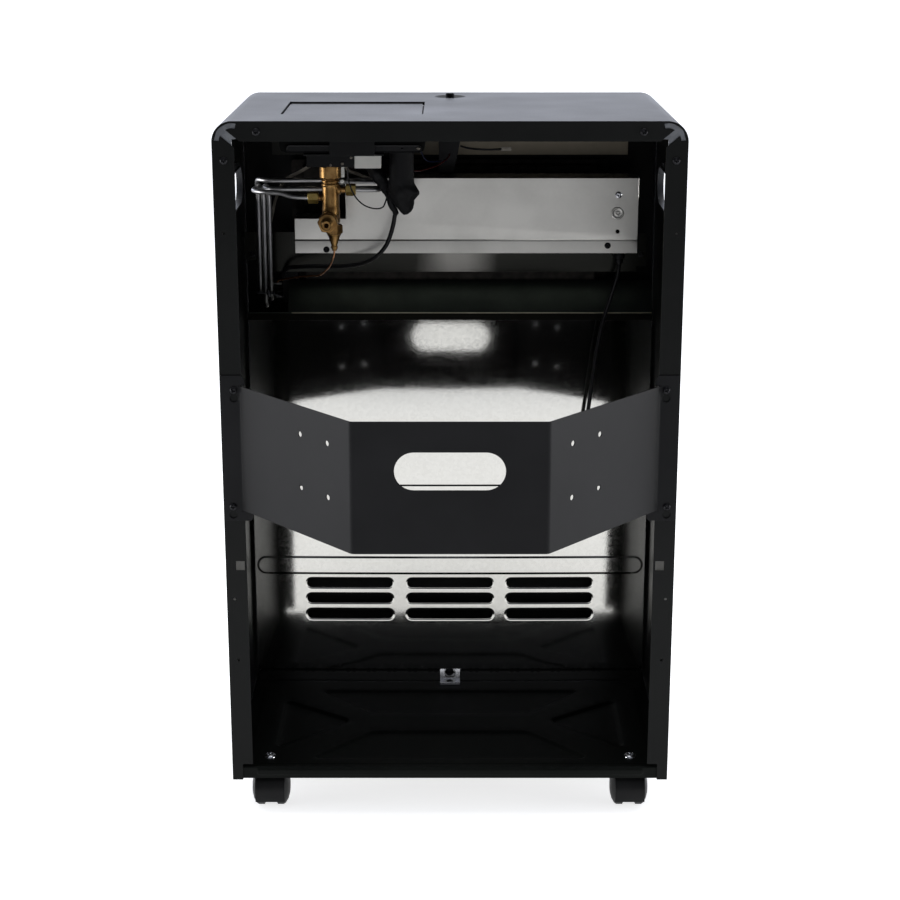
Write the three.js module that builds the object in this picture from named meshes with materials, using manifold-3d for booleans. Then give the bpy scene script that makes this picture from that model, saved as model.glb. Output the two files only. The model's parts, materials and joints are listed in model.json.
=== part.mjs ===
// Portable gas cabinet heater, millimetres, +Z up.
// Origin: centre of the footprint, on the floor under the casters.
// +X is the user's right when facing the heater, -Y is the front, +Y the open rear.
import * as THREE from 'three';
import { mergeVertices } from 'three/addons/utils/BufferGeometryUtils.js';
import Module from 'manifold-3d';

const wasm = await Module();
wasm.setup();

// ---------------------------------------------------------------- driving dimensions
const W = 460;            // casing width
const D = 290;            // casing depth
const ZT = 732;           // casing top
const ZB = 40;            // casing lower edge
const SHEET = 1;          // sheet thickness
const RC = 20;            // radius of the two top corners
const GUARD_OUT = 137;    // how far the bottle restraint stands behind the casing
const YR = (D + GUARD_OUT) / 2 - GUARD_OUT;   // rear plane of the casing
const SIDE_FLANGE = 21.7; // rear flanges
const TOP_FLANGE = 19.5;
const PANEL_T = 233;      // inner front panel, measured forward from the rear plane
const DECK_Z = 55;        // top of the base plate
const FLAP = { x0: 26.5, x1: 168.5, t0: 64.5, t1: 185.7 };
const PIN = { t: 181.5, z: 727.6 };
const GRIP = { t0: 82, t1: 208, z: 644, h: 42 };
const VALVE = { x: 124, t: 122 };
const PIEZO = { x: 49.4, t: 125 };
const BUTTON = { x: 0, t: 242 };
const CASTER = { x: 192, tRear: 40, tFront: 255, trail: 12, bolt: 13, r: 20 };
const KEY_LIFT = 8.3;     // keyhole travel of the bottle restraint
const Y = (t) => YR - t;  // distance forward from the rear plane to the frame's y

// ---------------------------------------------------------------- helpers
function toSolid(geo) {
  let g = geo.clone();
  g.deleteAttribute('normal');
  g.deleteAttribute('uv');
  g = mergeVertices(g, 1e-4);
  const p = g.getAttribute('position').array;
  const src = g.index.array;
  const tri = [];
  for (let i = 0; i < src.length; i += 3) {
    const [a, b, c] = [src[i], src[i + 1], src[i + 2]];
    if (a !== b && b !== c && a !== c) tri.push(a, b, c);
  }
  let vol = 0;
  for (let i = 0; i < tri.length; i += 3) {
    const a = tri[i] * 3, b = tri[i + 1] * 3, c = tri[i + 2] * 3;
    vol += p[a] * (p[b + 1] * p[c + 2] - p[b + 2] * p[c + 1])
      - p[a + 1] * (p[b] * p[c + 2] - p[b + 2] * p[c])
      + p[a + 2] * (p[b] * p[c + 1] - p[b + 1] * p[c]);
  }
  if (vol < 0) for (let i = 0; i < tri.length; i += 3) [tri[i + 1], tri[i + 2]] = [tri[i + 2], tri[i + 1]];
  return new wasm.Manifold(new wasm.Mesh({
    numProp: 3, vertProperties: new Float32Array(p), triVerts: new Uint32Array(tri) }));
}
function toGeometry(m) {
  const mesh = m.getMesh();
  const g = new THREE.BufferGeometry();
  g.setAttribute('position', new THREE.BufferAttribute(new Float32Array(mesh.vertProperties), 3));
  g.setIndex(new THREE.BufferAttribute(new Uint32Array(mesh.triVerts), 1));
  g.computeVertexNormals();
  return g;
}
const join = (...parts) => parts.reduce((a, b) => a.add(b));
const cut = (a, ...parts) => parts.reduce((s, b) => s.subtract(b), a);

const V2 = (pts) => pts.map(([x, y]) => new THREE.Vector2(x, y));
const ccw = (pts) => (THREE.ShapeUtils.area(pts) < 0 ? pts.reverse() : pts);
function shapeOf(pts, holes = []) {
  const s = new THREE.Shape(ccw(V2(pts)));
  for (const h of holes) s.holes.push(new THREE.Path(ccw(V2(h))));
  return s;
}
function extrude(pts, depth, holes) {
  return new THREE.ExtrudeGeometry(shapeOf(pts, holes), { depth, bevelEnabled: false, steps: 1 });
}
// outline in (x, z), running from t0 to t1 (t0 < t1, both measured forward)
function prismT(pts, t0, t1, holes) {
  const g = extrude(pts, t1 - t0, holes);
  g.rotateX(Math.PI / 2);
  g.translate(0, Y(t0), 0);
  return toSolid(g);
}
// outline in (x, t), from z0 to z1
function prismZ(pts, z0, z1, holes) {
  const flip = (a) => a.map(([x, t]) => [x, Y(t)]);
  const g = extrude(flip(pts), z1 - z0, holes ? holes.map(flip) : undefined);
  g.translate(0, 0, z0);
  return toSolid(g);
}
// outline in (t, z), from x0 to x1
function prismX(pts, x0, x1, holes) {
  const flip = (a) => a.map(([t, z]) => [Y(t), z]);
  const g = extrude(flip(pts), x1 - x0, holes ? holes.map(flip) : undefined);
  g.applyMatrix4(new THREE.Matrix4().makeBasis(
    new THREE.Vector3(0, 1, 0), new THREE.Vector3(0, 0, 1), new THREE.Vector3(1, 0, 0)));
  g.translate(x0, 0, 0);
  return toSolid(g);
}
function box(x0, x1, t0, t1, z0, z1) {
  const g = new THREE.BoxGeometry(Math.abs(x1 - x0), Math.abs(t1 - t0), Math.abs(z1 - z0));
  g.translate((x0 + x1) / 2, Y((t0 + t1) / 2), (z0 + z1) / 2);
  return toSolid(g);
}
function circle(cx, cy, r, n = 16, a0 = 0) {
  return Array.from({ length: n }, (_, i) => {
    const a = a0 + (i / n) * Math.PI * 2;
    return [cx + r * Math.cos(a), cy + r * Math.sin(a)];
  });
}
function obround(cx, cy, len, wid, n = 6) {
  const r = wid / 2, h = len / 2 - r, pts = [];
  for (let i = 0; i <= n; i++) { const a = -Math.PI / 2 + (i / n) * Math.PI; pts.push([cx + h + r * Math.cos(a), cy + r * Math.sin(a)]); }
  for (let i = 0; i <= n; i++) { const a = Math.PI / 2 + (i / n) * Math.PI; pts.push([cx - h + r * Math.cos(a), cy + r * Math.sin(a)]); }
  return pts;
}
function roundRect(x0, x1, y0, y1, r, n = 4) {
  const pts = [];
  const corner = (cx, cy, a0) => { for (let i = 0; i <= n; i++) { const a = a0 + (i / n) * Math.PI / 2; pts.push([cx + r * Math.cos(a), cy + r * Math.sin(a)]); } };
  corner(x1 - r, y1 - r, 0);
  corner(x0 + r, y1 - r, Math.PI / 2);
  corner(x0 + r, y0 + r, Math.PI);
  corner(x1 - r, y0 + r, 1.5 * Math.PI);
  return pts;
}
// outline of the casing: square bottom corners, round top corners
function arch(hw, z0, z1, r, n = 12) {
  const pts = [[-hw, z0], [hw, z0]];
  for (let i = 0; i <= n; i++) { const a = (i / n) * Math.PI / 2; pts.push([hw - r + r * Math.cos(a), z1 - r + r * Math.sin(a)]); }
  for (let i = 0; i <= n; i++) { const a = Math.PI / 2 + (i / n) * Math.PI / 2; pts.push([-hw + r + r * Math.cos(a), z1 - r + r * Math.sin(a)]); }
  return pts;
}
// turned solid: profile of [radius, height] pairs, about a vertical axis
function latheGeo(profile, n) { return new THREE.LatheGeometry(V2(profile), n); }
function latheZ(profile, x, t, n = 16) {
  const g = latheGeo(profile, n);
  g.rotateX(Math.PI / 2);
  g.translate(x, Y(t), 0);
  return toSolid(g);
}
// about an axis along X: height is x
function latheX(profile, t, z, n = 16) {
  const g = latheGeo(profile, n);
  g.rotateZ(-Math.PI / 2);
  g.translate(0, Y(t), z);
  return toSolid(g);
}
// about an axis along Y: height is measured forward (t)
function latheT(profile, x, z, n = 16) {
  const g = latheGeo(profile.map(([r, t]) => [r, Y(t)]), n);
  g.translate(x, 0, z);
  return toSolid(g);
}
const rod = (axis, r, a0, a1, u, v, n = 12) => {
  const prof = [[0, a0], [r, a0], [r, a1], [0, a1]];
  return axis === 'z' ? latheZ(prof, u, v, n) : axis === 'x' ? latheX(prof, u, v, n) : latheT(prof, u, v, n);
};
// a round tube along a smooth curve through [x, t, z] points
function tube(points, r, sides = 8, steps = 40) {
  const curve = new THREE.CatmullRomCurve3(points.map(([x, t, z]) => new THREE.Vector3(x, Y(t), z)), false, 'centripetal');
  const g = new THREE.ExtrudeGeometry(shapeOf(circle(0, 0, r, sides)), { steps, bevelEnabled: false, extrudePath: curve });
  return toSolid(g);
}

const heater = new THREE.Group();
const MAT = {
  black_case: { color: 0x1b1d1c, roughness: 0.42, metalness: 0.35 },
  black_bracket: { color: 0x151615, roughness: 0.5, metalness: 0.3 },
  black_guard: { color: 0x2b2b2c, roughness: 0.45, metalness: 0.3 },
  black_base: { color: 0x0e100e, roughness: 0.4, metalness: 0.35 },
  galvanised: { color: 0xb9b8b2, roughness: 0.32, metalness: 0.95 },
  galvanised_dark: { color: 0x5d605e, roughness: 0.4, metalness: 0.9 },
  aluminium_tube: { color: 0xcfd0d2, roughness: 0.22, metalness: 1 },
  brass: { color: 0x9a6f3c, roughness: 0.35, metalness: 1 },
  brass_nut: { color: 0xc9a64d, roughness: 0.28, metalness: 1 },
  copper: { color: 0xa8582c, roughness: 0.35, metalness: 1 },
  black_plastic: { color: 0x101010, roughness: 0.45, metalness: 0 },
  grey_plastic: { color: 0x53565b, roughness: 0.5, metalness: 0 },
  white_plastic: { color: 0xd9d8d0, roughness: 0.5, metalness: 0 },
  black_rubber: { color: 0x0c0c0c, roughness: 0.7, metalness: 0 },
  lead_black: { color: 0x0b0b0c, roughness: 0.5, metalness: 0 },
  screw_black: { color: 0x0f0f10, roughness: 0.35, metalness: 0.7 },
  chrome_wire: { color: 0xd8dadc, roughness: 0.12, metalness: 1 },
  ceramic: { color: 0xd8cdb4, roughness: 0.85, metalness: 0 },
  spindle_steel: { color: 0x9c9da0, roughness: 0.3, metalness: 1 },
  wheel_plastic: { color: 0x121213, roughness: 0.4, metalness: 0 },
};
function piece(name, solid, mat) {
  const mesh = new THREE.Mesh(toGeometry(solid), new THREE.MeshStandardMaterial(MAT[mat]));
  mesh.name = name;
  heater.add(mesh);
  return mesh;
}

// ---------------------------------------------------------------- casing
// corner relief of the rear flanges: a curved band along the round corner and a diagonal stem
function reliefs(side) {
  const cx = W / 2 - RC, cz = ZT - RC, band = [];
  for (let i = 0; i <= 8; i++) { const a = (4 + i * 12.3) * Math.PI / 180; band.push([cx + 18 * Math.cos(a), cz + 18 * Math.sin(a)]); }
  for (let i = 8; i >= 0; i--) { const a = (4 + i * 12.3) * Math.PI / 180; band.push([cx + 13 * Math.cos(a), cz + 13 * Math.sin(a)]); }
  const s = Math.SQRT1_2, ux = s, uz = s, hw = 3.9;
  const a = [cx - 4, cz - 2], b = [cx + 14 * ux + 0.5, cz + 14 * uz];
  const stem = [[a[0] + hw * s, a[1] - hw * s], [b[0] + hw * s, b[1] - hw * s], [b[0] - hw * s, b[1] + hw * s], [a[0] - hw * s, a[1] + hw * s]];
  const m = (pts) => side > 0 ? pts : pts.map(([x, z]) => [-x, z]).reverse();
  return join(prismT(m(band), -1, 1.4), prismT(m(stem), -1, 1.4));
}
const FLANGE_SCREWS = [[186.7, 721.6], [218.7, 694], [-186.7, 721.6], [-218.7, 694]];
const GUARD_SCREWS = [[216, 466], [220, 344], [-216, 466], [-220, 344]];

let wrap = prismT(arch(W / 2, ZB, ZT, RC), 0, D);
wrap = cut(wrap,
  prismT(arch(W / 2 - SHEET, ZB - 2, ZT - SHEET, RC - SHEET), SHEET, D + 2),
  prismT([[-W / 2 + SIDE_FLANGE, ZB - 2], [W / 2 - SIDE_FLANGE, ZB - 2], [W / 2 - SIDE_FLANGE, ZT - TOP_FLANGE], [-W / 2 + SIDE_FLANGE, ZT - TOP_FLANGE]], -1, 1.5),
  reliefs(1), reliefs(-1),
  box(FLAP.x0, FLAP.x1, FLAP.t0, FLAP.t1, ZT - 3, ZT + 1),
  rod('z', 17.6, ZT - 3, ZT + 1, BUTTON.x, BUTTON.t, 32),
  prismX(obround((GRIP.t0 + GRIP.t1) / 2, GRIP.z, GRIP.t1 - GRIP.t0, GRIP.h, 12), -W / 2 - 2, W / 2 + 2));
for (const [x, z] of [...FLANGE_SCREWS, ...GUARD_SCREWS]) wrap = wrap.subtract(prismT(circle(x, z, 2.3, 8), -1, 2));
for (const s of [1, -1]) {
  wrap = cut(wrap,
    box(s * 210.5, s * 219.3, -1, 2, 275, 285),
    box(s * 207, s * 219, -1, 2, ZB - 2, 58),
    prismT(circle(s * 222, 243.5, 1.6, 6), -1, 2),
    prismT(circle(s * 220, 176, 1.6, 6), -1, 2),
    prismT(circle(s * 221, 623, 1.4, 6), -1, 2));
}
wrap = join(wrap, latheZ([[5.5, 727.9], [9, 727.9], [16, 729.8], [18.2, 731.1], [18.2, 732], [17.2, 732], [15.2, 730.8], [9, 728.9], [5.5, 728.9], [5.5, 727.9]], BUTTON.x, BUTTON.t, 32));
piece('case_wrap', wrap, 'black_case');

for (const s of [1, -1]) {
  const m = (pts) => s > 0 ? pts : pts.map(([x, z]) => [-x, z]).reverse();
  // L-shaped plate behind each corner; two screws through the flanges hold it
  const plate = prismT(m([[210.5, 682], [228.3, 682], [228.3, 712], [224.5, 724], [214, 730.2], [176, 730.2], [176, 714.6], [210.5, 714.6]]), 1.3, 2.5);
  piece(s > 0 ? 'corner_bracket_right' : 'corner_bracket_left',
    cut(plate, prismT(circle(s * 186.7, 721.6, 2.3, 10), 0, 4), prismT(circle(s * 218.7, 694, 2.3, 10), 0, 4)), 'galvanised');
}
const screwHead = (x, z, r, t, len, n = 10) => latheT([[0, t - 2.3], [r * 0.62, t - 2.2], [r * 0.93, t - 1.5], [r, t - 0.3], [1.8, t - 0.3], [1.8, t + len], [0, t + len]], x, z, n);

// base plate: deck with a slightly raised platform for the bottle and turned-down lips
const DECK = DECK_Z - 0.6;
const platform = [[-215, 8], [215, 8]];
for (let i = 0; i <= 6; i++) { const a = (i / 6) * Math.PI / 2; platform.push([193 + 22 * Math.cos(a), 209 + 22 * Math.sin(a)]); }
platform.push([13.5, 231], [13.5, 216], [-13.5, 216], [-13.5, 231]);
for (let i = 0; i <= 6; i++) { const a = Math.PI / 2 + (i / 6) * Math.PI / 2; platform.push([-193 + 22 * Math.cos(a), 209 + 22 * Math.sin(a)]); }
let base = cut(box(-228.4, 228.4, 1.4, 278.6, 41.2, DECK), box(-227.2, 227.2, 2.6, 277.4, 38, DECK - 1.2), box(-230, 230, 2.6, 280, 38, 45));
base = join(base, prismZ(platform, DECK - 0.5, DECK_Z));
for (const t of [CASTER.tRear, CASTER.tFront]) for (const s of [1, -1]) {
  base = join(base, box(s * (CASTER.x - 22), s * (CASTER.x + 22), t - 20, t + 14, 50.2, DECK - 1.1));   // plate that carries the stem
  base = base.subtract(rod('z', 2.5, 48, 58, s * CASTER.x, t - CASTER.bolt, 10));
}
piece('base_plate', base, 'black_base');

// galvanised front panel of the bottle bay with nine air slots
const slots = [];
for (const z of [176.5, 157.5, 138.3]) for (const x of [115.85, 0, -114.8]) slots.push(obround(x, z, x === 0 ? 99.2 : 99.5, 11, 5));
slots.push(circle(-149, 328, 5.2, 12));
piece('inner_front_panel', prismT([[-224.6, DECK + 0.3], [224.6, DECK + 0.3], [224.6, 487], [-224.6, 487]], PANEL_T, PANEL_T + 1, slots), 'galvanised');
piece('base_clip', join(box(-11, 11, 219, 231, DECK + 0.3, 56.5), box(-11, 11, 230.4, 231.6, DECK + 0.3, 70), box(-11, -8.5, 219, 231, DECK + 0.3, 61), box(8.5, 11, 219, 231, DECK + 0.3, 61)), 'galvanised');

// ---------------------------------------------------------------- front
const WIN = { x: 172, z0: 499, z1: 656 };
let fascia = prismT(arch(228.6, 480, 730.6, 18.6), 279, 288.4);
fascia = cut(fascia, prismT(arch(227.4, 481.2, 729.4, 17.4), 278, 287.2));
fascia = join(fascia, prismT(roundRect(-WIN.x - 1.2, WIN.x + 1.2, WIN.z0 - 1.2, WIN.z1 + 1.2, 7), 281, 288));
fascia = cut(fascia, prismT(roundRect(-WIN.x, WIN.x, WIN.z0, WIN.z1, 6), 270, 292));
piece('front_fascia', fascia, 'black_case');

let lower = prismT([[-228.6, 41.2], [228.6, 41.2], [228.6, 479.6], [-228.6, 479.6]], 279, 288.4);
lower = cut(lower, prismT([[-227.4, 42.4], [227.4, 42.4], [227.4, 478.4], [-227.4, 478.4]], 278, 287.2));
for (let i = 0; i < 4; i++) for (const x of [-105, 105]) lower = lower.subtract(prismT(obround(x, 62 + i * 12, 150, 5, 3), 280, 292));
piece('front_lower_panel', lower, 'black_case');

piece('front_heat_shield', join(box(-198, 198, 284, 285, 664, 727), box(-198, 198, 277, 285, 726, 727)), 'galvanised');

// guard grille over the burner
let guard = cut(prismT(roundRect(-170.5, 170.5, 500.5, 654.5, 6), 280.5, 284.5), prismT(roundRect(-166.5, 166.5, 504.5, 650.5, 4), 279, 286));
for (let i = 1; i <= 8; i++) guard = guard.add(box(-168, 168, 281.2, 283.8, 501.2 + i * 16.67, 503.8 + i * 16.67));
for (const x of [-84, 0, 84]) guard = guard.add(box(x - 1.3, x + 1.3, 281.4, 283.6, 502, 653));
piece('guard_grille', guard, 'chrome_wire');

// burner: pressed body with three pockets, three ceramic plaques, retaining frame
const PLAQUE_X = [-108, 0, 108];
let body = box(-162, 162, 257, 271.7, 503, 655);
for (const x of PLAQUE_X) body = cut(body, box(x - 48.3, x + 48.3, 262, 273, 508.7, 645.3), box(x - 20, x + 20, 256, 264, 560, 600));
piece('burner_body', body, 'galvanised_dark');
PLAQUE_X.forEach((x, i) => piece(['ceramic_plaque_left', 'ceramic_plaque_centre', 'ceramic_plaque_right'][i], box(x - 48, x + 48, 262.3, 271.4, 509, 645), 'ceramic'));
let frame = box(-176, 176, 272, 273, 498, 660);
for (const x of PLAQUE_X) frame = frame.subtract(box(x - 45, x + 45, 270, 275, 512, 642));
piece('burner_frame', frame, 'galvanised');
piece('pilot_burner', join(box(-62, -46, 273.4, 274.6, 503, 524), box(-60, -48, 274, 278.4, 503, 506), rod('z', 2.6, 505, 522, -54, 276.4, 10), rod('x', 1.2, -54, -32, 276.6, 521, 6)), 'spindle_steel');

// ---------------------------------------------------------------- burner support seen from behind
piece('burner_shelf', join(
  prismX([[232.5, 487.4], [233.6, 487.4], [233.6, 494.3], [255.6, 527.4], [254.8, 528], [232.5, 495]], -225, 180),
  prismX([[232.5, 487.4], [233.6, 487.4], [233.6, 496], [232.5, 496]], -225, 225)), 'galvanised_dark');
piece('burner_back_plate', join(box(-206, 208.5, 233, 234, 541.7, 586), box(208, 226.8, 233, 234, 555, 586), box(-216.7, -205, 233, 234, 548, 585)), 'galvanised');
const boxOuter = [[-202.6, 569], [167.5, 569], [167.5, 606.8], [112.4, 606.8], [112.4, 650.4], [-202.6, 650.4]];
const boxInner = [[-201.6, 570], [166.5, 570], [166.5, 605.8], [111.4, 605.8], [111.4, 649.4], [-201.6, 649.4]];
let bbox = cut(prismT(boxOuter, 195, 232.6), prismT(boxInner, 196, 234));
bbox = cut(bbox, prismT(circle(-180.8, 592.8, 2.2, 8), 194, 197));
piece('burner_box', bbox, 'galvanised');
piece('cable_gland', latheZ([[0, 555.9], [3.6, 555.9], [4.4, 557.2], [4.9, 562], [6.3, 562.6], [6.3, 568.7], [0, 568.7]], -184, 205, 12), 'black_plastic');
piece('lead_grommet', latheT([[0, 227.9], [4.4, 227.9], [7, 230], [7, 232.7], [4.9, 232.8], [4.9, 236], [0, 236]], -149, 328, 12), 'black_rubber');
// the lead hangs from the gland and goes back through the grommet
const LEAD = [[-184, 205, 555.6], [-183.2, 205.4, 545], [-179.5, 208, 530], [-175, 211, 513], [-170.2, 213, 496], [-166.6, 213.5, 480], [-164, 213.5, 464],
  [-161.5, 213, 450], [-160, 212.5, 436], [-157.5, 211.5, 417], [-155, 210.5, 398], [-152.5, 209, 378], [-150.5, 208, 360], [-149.3, 209.5, 345.5], [-149, 215.5, 333.5], [-149, 222.5, 328.8], [-149, 227.6, 328]];
piece('supply_lead', tube(LEAD, 2.25, 8, 32), 'lead_black');

// ---------------------------------------------------------------- gas train
const vx = VALVE.x, vt = VALVE.t;
let valve = join(
  latheZ([[0, 606], [8.2, 606], [10.6, 610], [10.6, 624], [9.35, 630], [9.35, 655], [8.4, 656], [8.4, 659], [11.4, 660], [11.4, 674], [0, 674]], vx, vt, 16),
  rod('x', 3.6, vx, 136, vt, 640.5, 10), rod('x', 3.6, 108, vx, vt, 648.5, 10), rod('t', 3.4, vt, 135, vx, 650, 10),
  box(vx - 7, vx + 9, 106.5, vt, 609, 624));
valve = cut(valve, rod('z', 3.4, 661, 676, vx, vt, 12));
piece('gas_valve_body', valve, 'brass');
piece('inlet_nozzle', cut(join(prismT(circle(127, 616, 11, 6, Math.PI / 6), 98, 106.2), latheT([[0, 86], [4.4, 86], [5.2, 88], [4.4, 90], [5.6, 92], [5.6, 99], [0, 99]], 127, 616, 12)), rod('t', 2.3, 84, 102, 127, 616, 8)), 'brass');
piece('magnet_unit', latheZ([[0, 584.5], [2.4, 584.5], [2.4, 590], [3.6, 591], [6.6, 602], [8.2, 602.6], [8.2, 605.7], [0, 605.7]], 121.5, vt, 12), 'brass');
const hexNut = (x0, x1, z) => prismX(circle(vt, z, 6, 6), x0, x1, [circle(vt, z, 2.9, 8)]);
piece('outlet_nut_right', hexNut(136.3, 147, 640.5), 'brass_nut');
piece('outlet_nut_left', hexNut(97.4, 107.7, 648.5), 'brass_nut');
const TUBE_A = [[137.2, 122, 640.5], [150, 122, 640.5], [163, 123.5, 641], [177, 126, 644.3], [194, 129, 645], [204, 139, 645], [204.6, 158, 645], [202.6, 182, 643.5], [201, 197, 636], [200.8, 201, 622], [200.8, 201, 590], [200.8, 201, 560], [200.8, 201, 522], [200.8, 206, 510.5], [200.8, 218, 508], [200.8, 245, 508], [198, 261, 508], [189, 265, 508]];
const TUBE_B = [[106.8, 122, 648.5], [96, 122, 648.5], [85, 122.5, 648.2], [76, 127, 647.6], [72.5, 137, 647], [77, 146.5, 646.4], [90, 149.5, 646], [130, 149, 645.8], [176, 147, 645.6], [189, 150.5, 645.4], [195, 161, 645.2], [195.4, 178, 644.6], [195, 192, 640], [194.9, 200, 629], [194.9, 201, 612], [194.9, 201, 575], [194.9, 201, 532], [194.9, 206, 518.5], [194.9, 218, 515.5], [194.9, 245, 515.5], [193.4, 260, 515.5], [189.2, 264.6, 515.5]];
const TUBE_C = [[124, 135.4, 650], [124, 139.5, 650.4], [123.4, 143, 651.8], [118, 152, 652], [104, 160, 651.4], [86, 162, 650.8], [77, 165, 650.5], [75, 172, 650.5], [82, 178.5, 650.5], [100, 180, 650.5], [150, 178, 650.5], [184, 175.5, 650.5], [196, 177, 650.6], [204, 184, 650.3], [206.4, 194.5, 644], [206.6, 201.5, 632], [206.6, 202, 615], [206.6, 202, 580], [206.6, 202, 540], [206.6, 207, 526.5], [206.6, 220, 523], [206.4, 246, 523], [203, 260, 523], [189.2, 264.6, 523]];
piece('gas_tube_right', tube(TUBE_A, 2.5, 6, 44), 'aluminium_tube');
piece('gas_tube_left', tube(TUBE_B, 2.5, 6, 56), 'aluminium_tube');
piece('gas_tube_pilot', tube(TUBE_C, 2.4, 6, 60), 'aluminium_tube');
piece('injector_block', box(170, 187.2, 258, 271, 503, 540), 'brass');
piece('thermocouple_lead', tube([[121.5, 122, 584.2], [122, 124, 577], [126, 135, 567], [132, 150, 558.5], [140.3, 163, 550.8], [152, 175, 548], [166, 186, 544.5], [178, 196, 541], [186, 207, 537.5], [190, 220, 533], [190.5, 236, 530], [190.5, 246, 530]], 1.1, 6, 28), 'copper');

// controls
piece('valve_bracket', cut(join(box(98, 146, 98, 148, 675, 693.4), box(66, 146, 56, 148, 691.5, 693.4), box(75, 120, 55, 57.4, 691.5, 712)),
  rod('z', 4.2, 670, 696, vx, vt, 12)), 'black_bracket');
piece('terminal_block', roundBlock(70, 97, 100, 118, 673, 691.2), 'white_plastic');
function roundBlock(x0, x1, t0, t1, z0, z1) { return prismT(roundRect(x0, x1, z0, z1, 1, 2), t0, t1); }

let tray = prismT([[25, 730.6], [25, 700], [26.6, 696], [31, 694], [164, 694], [168.4, 696], [170, 700], [170, 730.6]].reverse(), 61.5, 188);
tray = cut(tray, box(28, 167, 64, 186.2, 696, 725), box(26.2, 168.8, 64, 186.2, 728.6, 732), box(31, 164, 67, 186.2, 724, 730), box(28, 167, 176, 186.2, 724, 730));
tray = cut(tray, rod('x', 1.35, 26.4, 168.6, PIN.t, PIN.z, 10), rod('z', 5, 690, 700, vx, vt, 12), rod('z', 9.3, 690, 700, PIEZO.x, PIEZO.t, 16));
tray = tray.add(box(31, 164, 60, 62, 695, 701));
piece('control_tray', tray, 'black_plastic');
piece('flap_hinge_pin', rod('x', 1, 26.8, 168.2, PIN.t, PIN.z, 10), 'spindle_steel');
let flap = cut(box(27.3, 167.7, 65.5, 183.5, 729, 730.3), box(26, 28.6, 177, 185, 728, 732), box(166.4, 169, 177, 185, 728, 732));
for (const x of [44, 150]) flap = flap.add(prismX([[178.5, 729.6], [178.5, 727.5], [180, 725.4], [183, 725.4], [183.5, 727], [183.5, 729.6]], x - 4, x + 4));
flap = flap.add(box(34, 161, 68.5, 70, 725.6, 729.5)).add(box(34, 35.4, 69, 170, 725.6, 729.5)).add(box(159.6, 161, 69, 170, 725.6, 729.5));
flap = cut(flap, rod('x', 1.25, 30, 165, PIN.t, PIN.z, 10), prismZ(circle(97.5, 60.5, 9.6, 20), 728.9, 731));
piece('control_flap', flap, 'black_case');

piece('valve_spindle', join(rod('z', 3, 667, 713, vx, vt, 12)), 'spindle_steel');
let knob = latheZ([[0, 701], [22, 701], [22.4, 703], [21, 709.5], [19, 711], [0, 711]], vx, vt, 24);
knob = join(knob, prismX([[vt - 18, 710], [vt + 18, 710], [vt + 17, 720], [vt + 15, 722.4], [vt - 15, 722.4], [vt - 17, 720]], vx - 5.5, vx + 5.5));
knob = cut(knob, rod('z', 3.15, 699, 713.6, vx, vt, 12));
piece('gas_knob', knob, 'black_plastic');

const px = PIEZO.x, pt = PIEZO.t;
let piezo = latheZ([[0, 622], [3.5, 622], [6, 628], [10.5, 636], [12.85, 644], [12.85, 693.6], [0, 693.6]], px, pt, 16);
piezo = cut(piezo, rod('z', 8.9, 681, 696, px, pt, 16));
piece('piezo_igniter', piezo, 'black_plastic');
piece('piezo_button', latheZ([[0, 688.5], [8.4, 688.5], [8.4, 712], [7.4, 714.5], [0, 714.5]], px, pt, 16), 'black_plastic');
piece('igniter_lead', tube([[55.8, 128, 625.4], [57.6, 130, 619.5], [58.9, 134, 612], [62, 140, 600], [68, 147, 585], [79, 155, 572], [93, 163, 564], [110, 172, 559.5], [130, 182, 557], [150, 191, 555.5], [168, 200, 553], [178, 209, 550], [183.2, 220, 542], [184.6, 234, 537], [185, 250, 536]], 2.3, 8, 34), 'lead_black');

const housing = prismT([[-12, 727.4], [-12, 690], [-4, 652], [12, 652], [12, 727.4]], 228, 256);
piece('button_housing', cut(housing, rod('z', 5.3, 719.5, 730, BUTTON.x, BUTTON.t, 16)), 'black_plastic');
piece('top_button', latheZ([[0, 724], [4.75, 724], [4.75, 734.6], [4, 736], [0, 736]], BUTTON.x, BUTTON.t, 16), 'black_plastic');

// ---------------------------------------------------------------- side grips
for (const s of [1, -1]) {
  const ct = (GRIP.t0 + GRIP.t1) / 2, len = GRIP.t1 - GRIP.t0;
  const x = (a, b) => s > 0 ? [a, b] : [-b, -a];
  let g = join(prismX(obround(ct, GRIP.z, len - 0.8, GRIP.h - 0.8), ...x(223.2, 230)), prismX(obround(ct, GRIP.z, len + 7, GRIP.h + 7), ...x(225.5, 228.6)));
  g = cut(g, prismX(obround(ct, GRIP.z, len - 4, GRIP.h - 4), ...x(214, 233)));
  piece(s > 0 ? 'side_grip_right' : 'side_grip_left', g, 'grey_plastic');
}

// ---------------------------------------------------------------- bottle restraint
const g0 = -1.5, g1 = -0.3, nx = 93.4, ox = 210, k = 1.2;
const bend = (GUARD_OUT - 1.5) / (ox - nx), nrm = Math.hypot(1, bend);
const off = k * (nrm - bend);                       // plan offset of the inner skin at the centre bends
const outer = [[-229.6, g0], [-ox, g0], [-nx, -GUARD_OUT], [nx, -GUARD_OUT], [ox, g0], [229.6, g0]];
const inner = [[229.6, g1], [ox - k * (nrm - 1) / bend, g1], [nx - off / bend, -GUARD_OUT + k], [-nx + off / bend, -GUARD_OUT + k], [-ox + k * (nrm - 1) / bend, g1], [-229.6, g1]];
const strip = (z0, z1) => prismZ([...outer, ...inner], z0, z1);
let restraint = strip(340, 470);
for (const s of [1, -1]) restraint = restraint.add(box(s * 208.6, s * 229.6, g0, g1, 329, 481));
restraint = restraint.subtract(prismT(obround(0, 421.7, 105, 37, 8), -GUARD_OUT - 3, -GUARD_OUT + 5));
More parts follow.
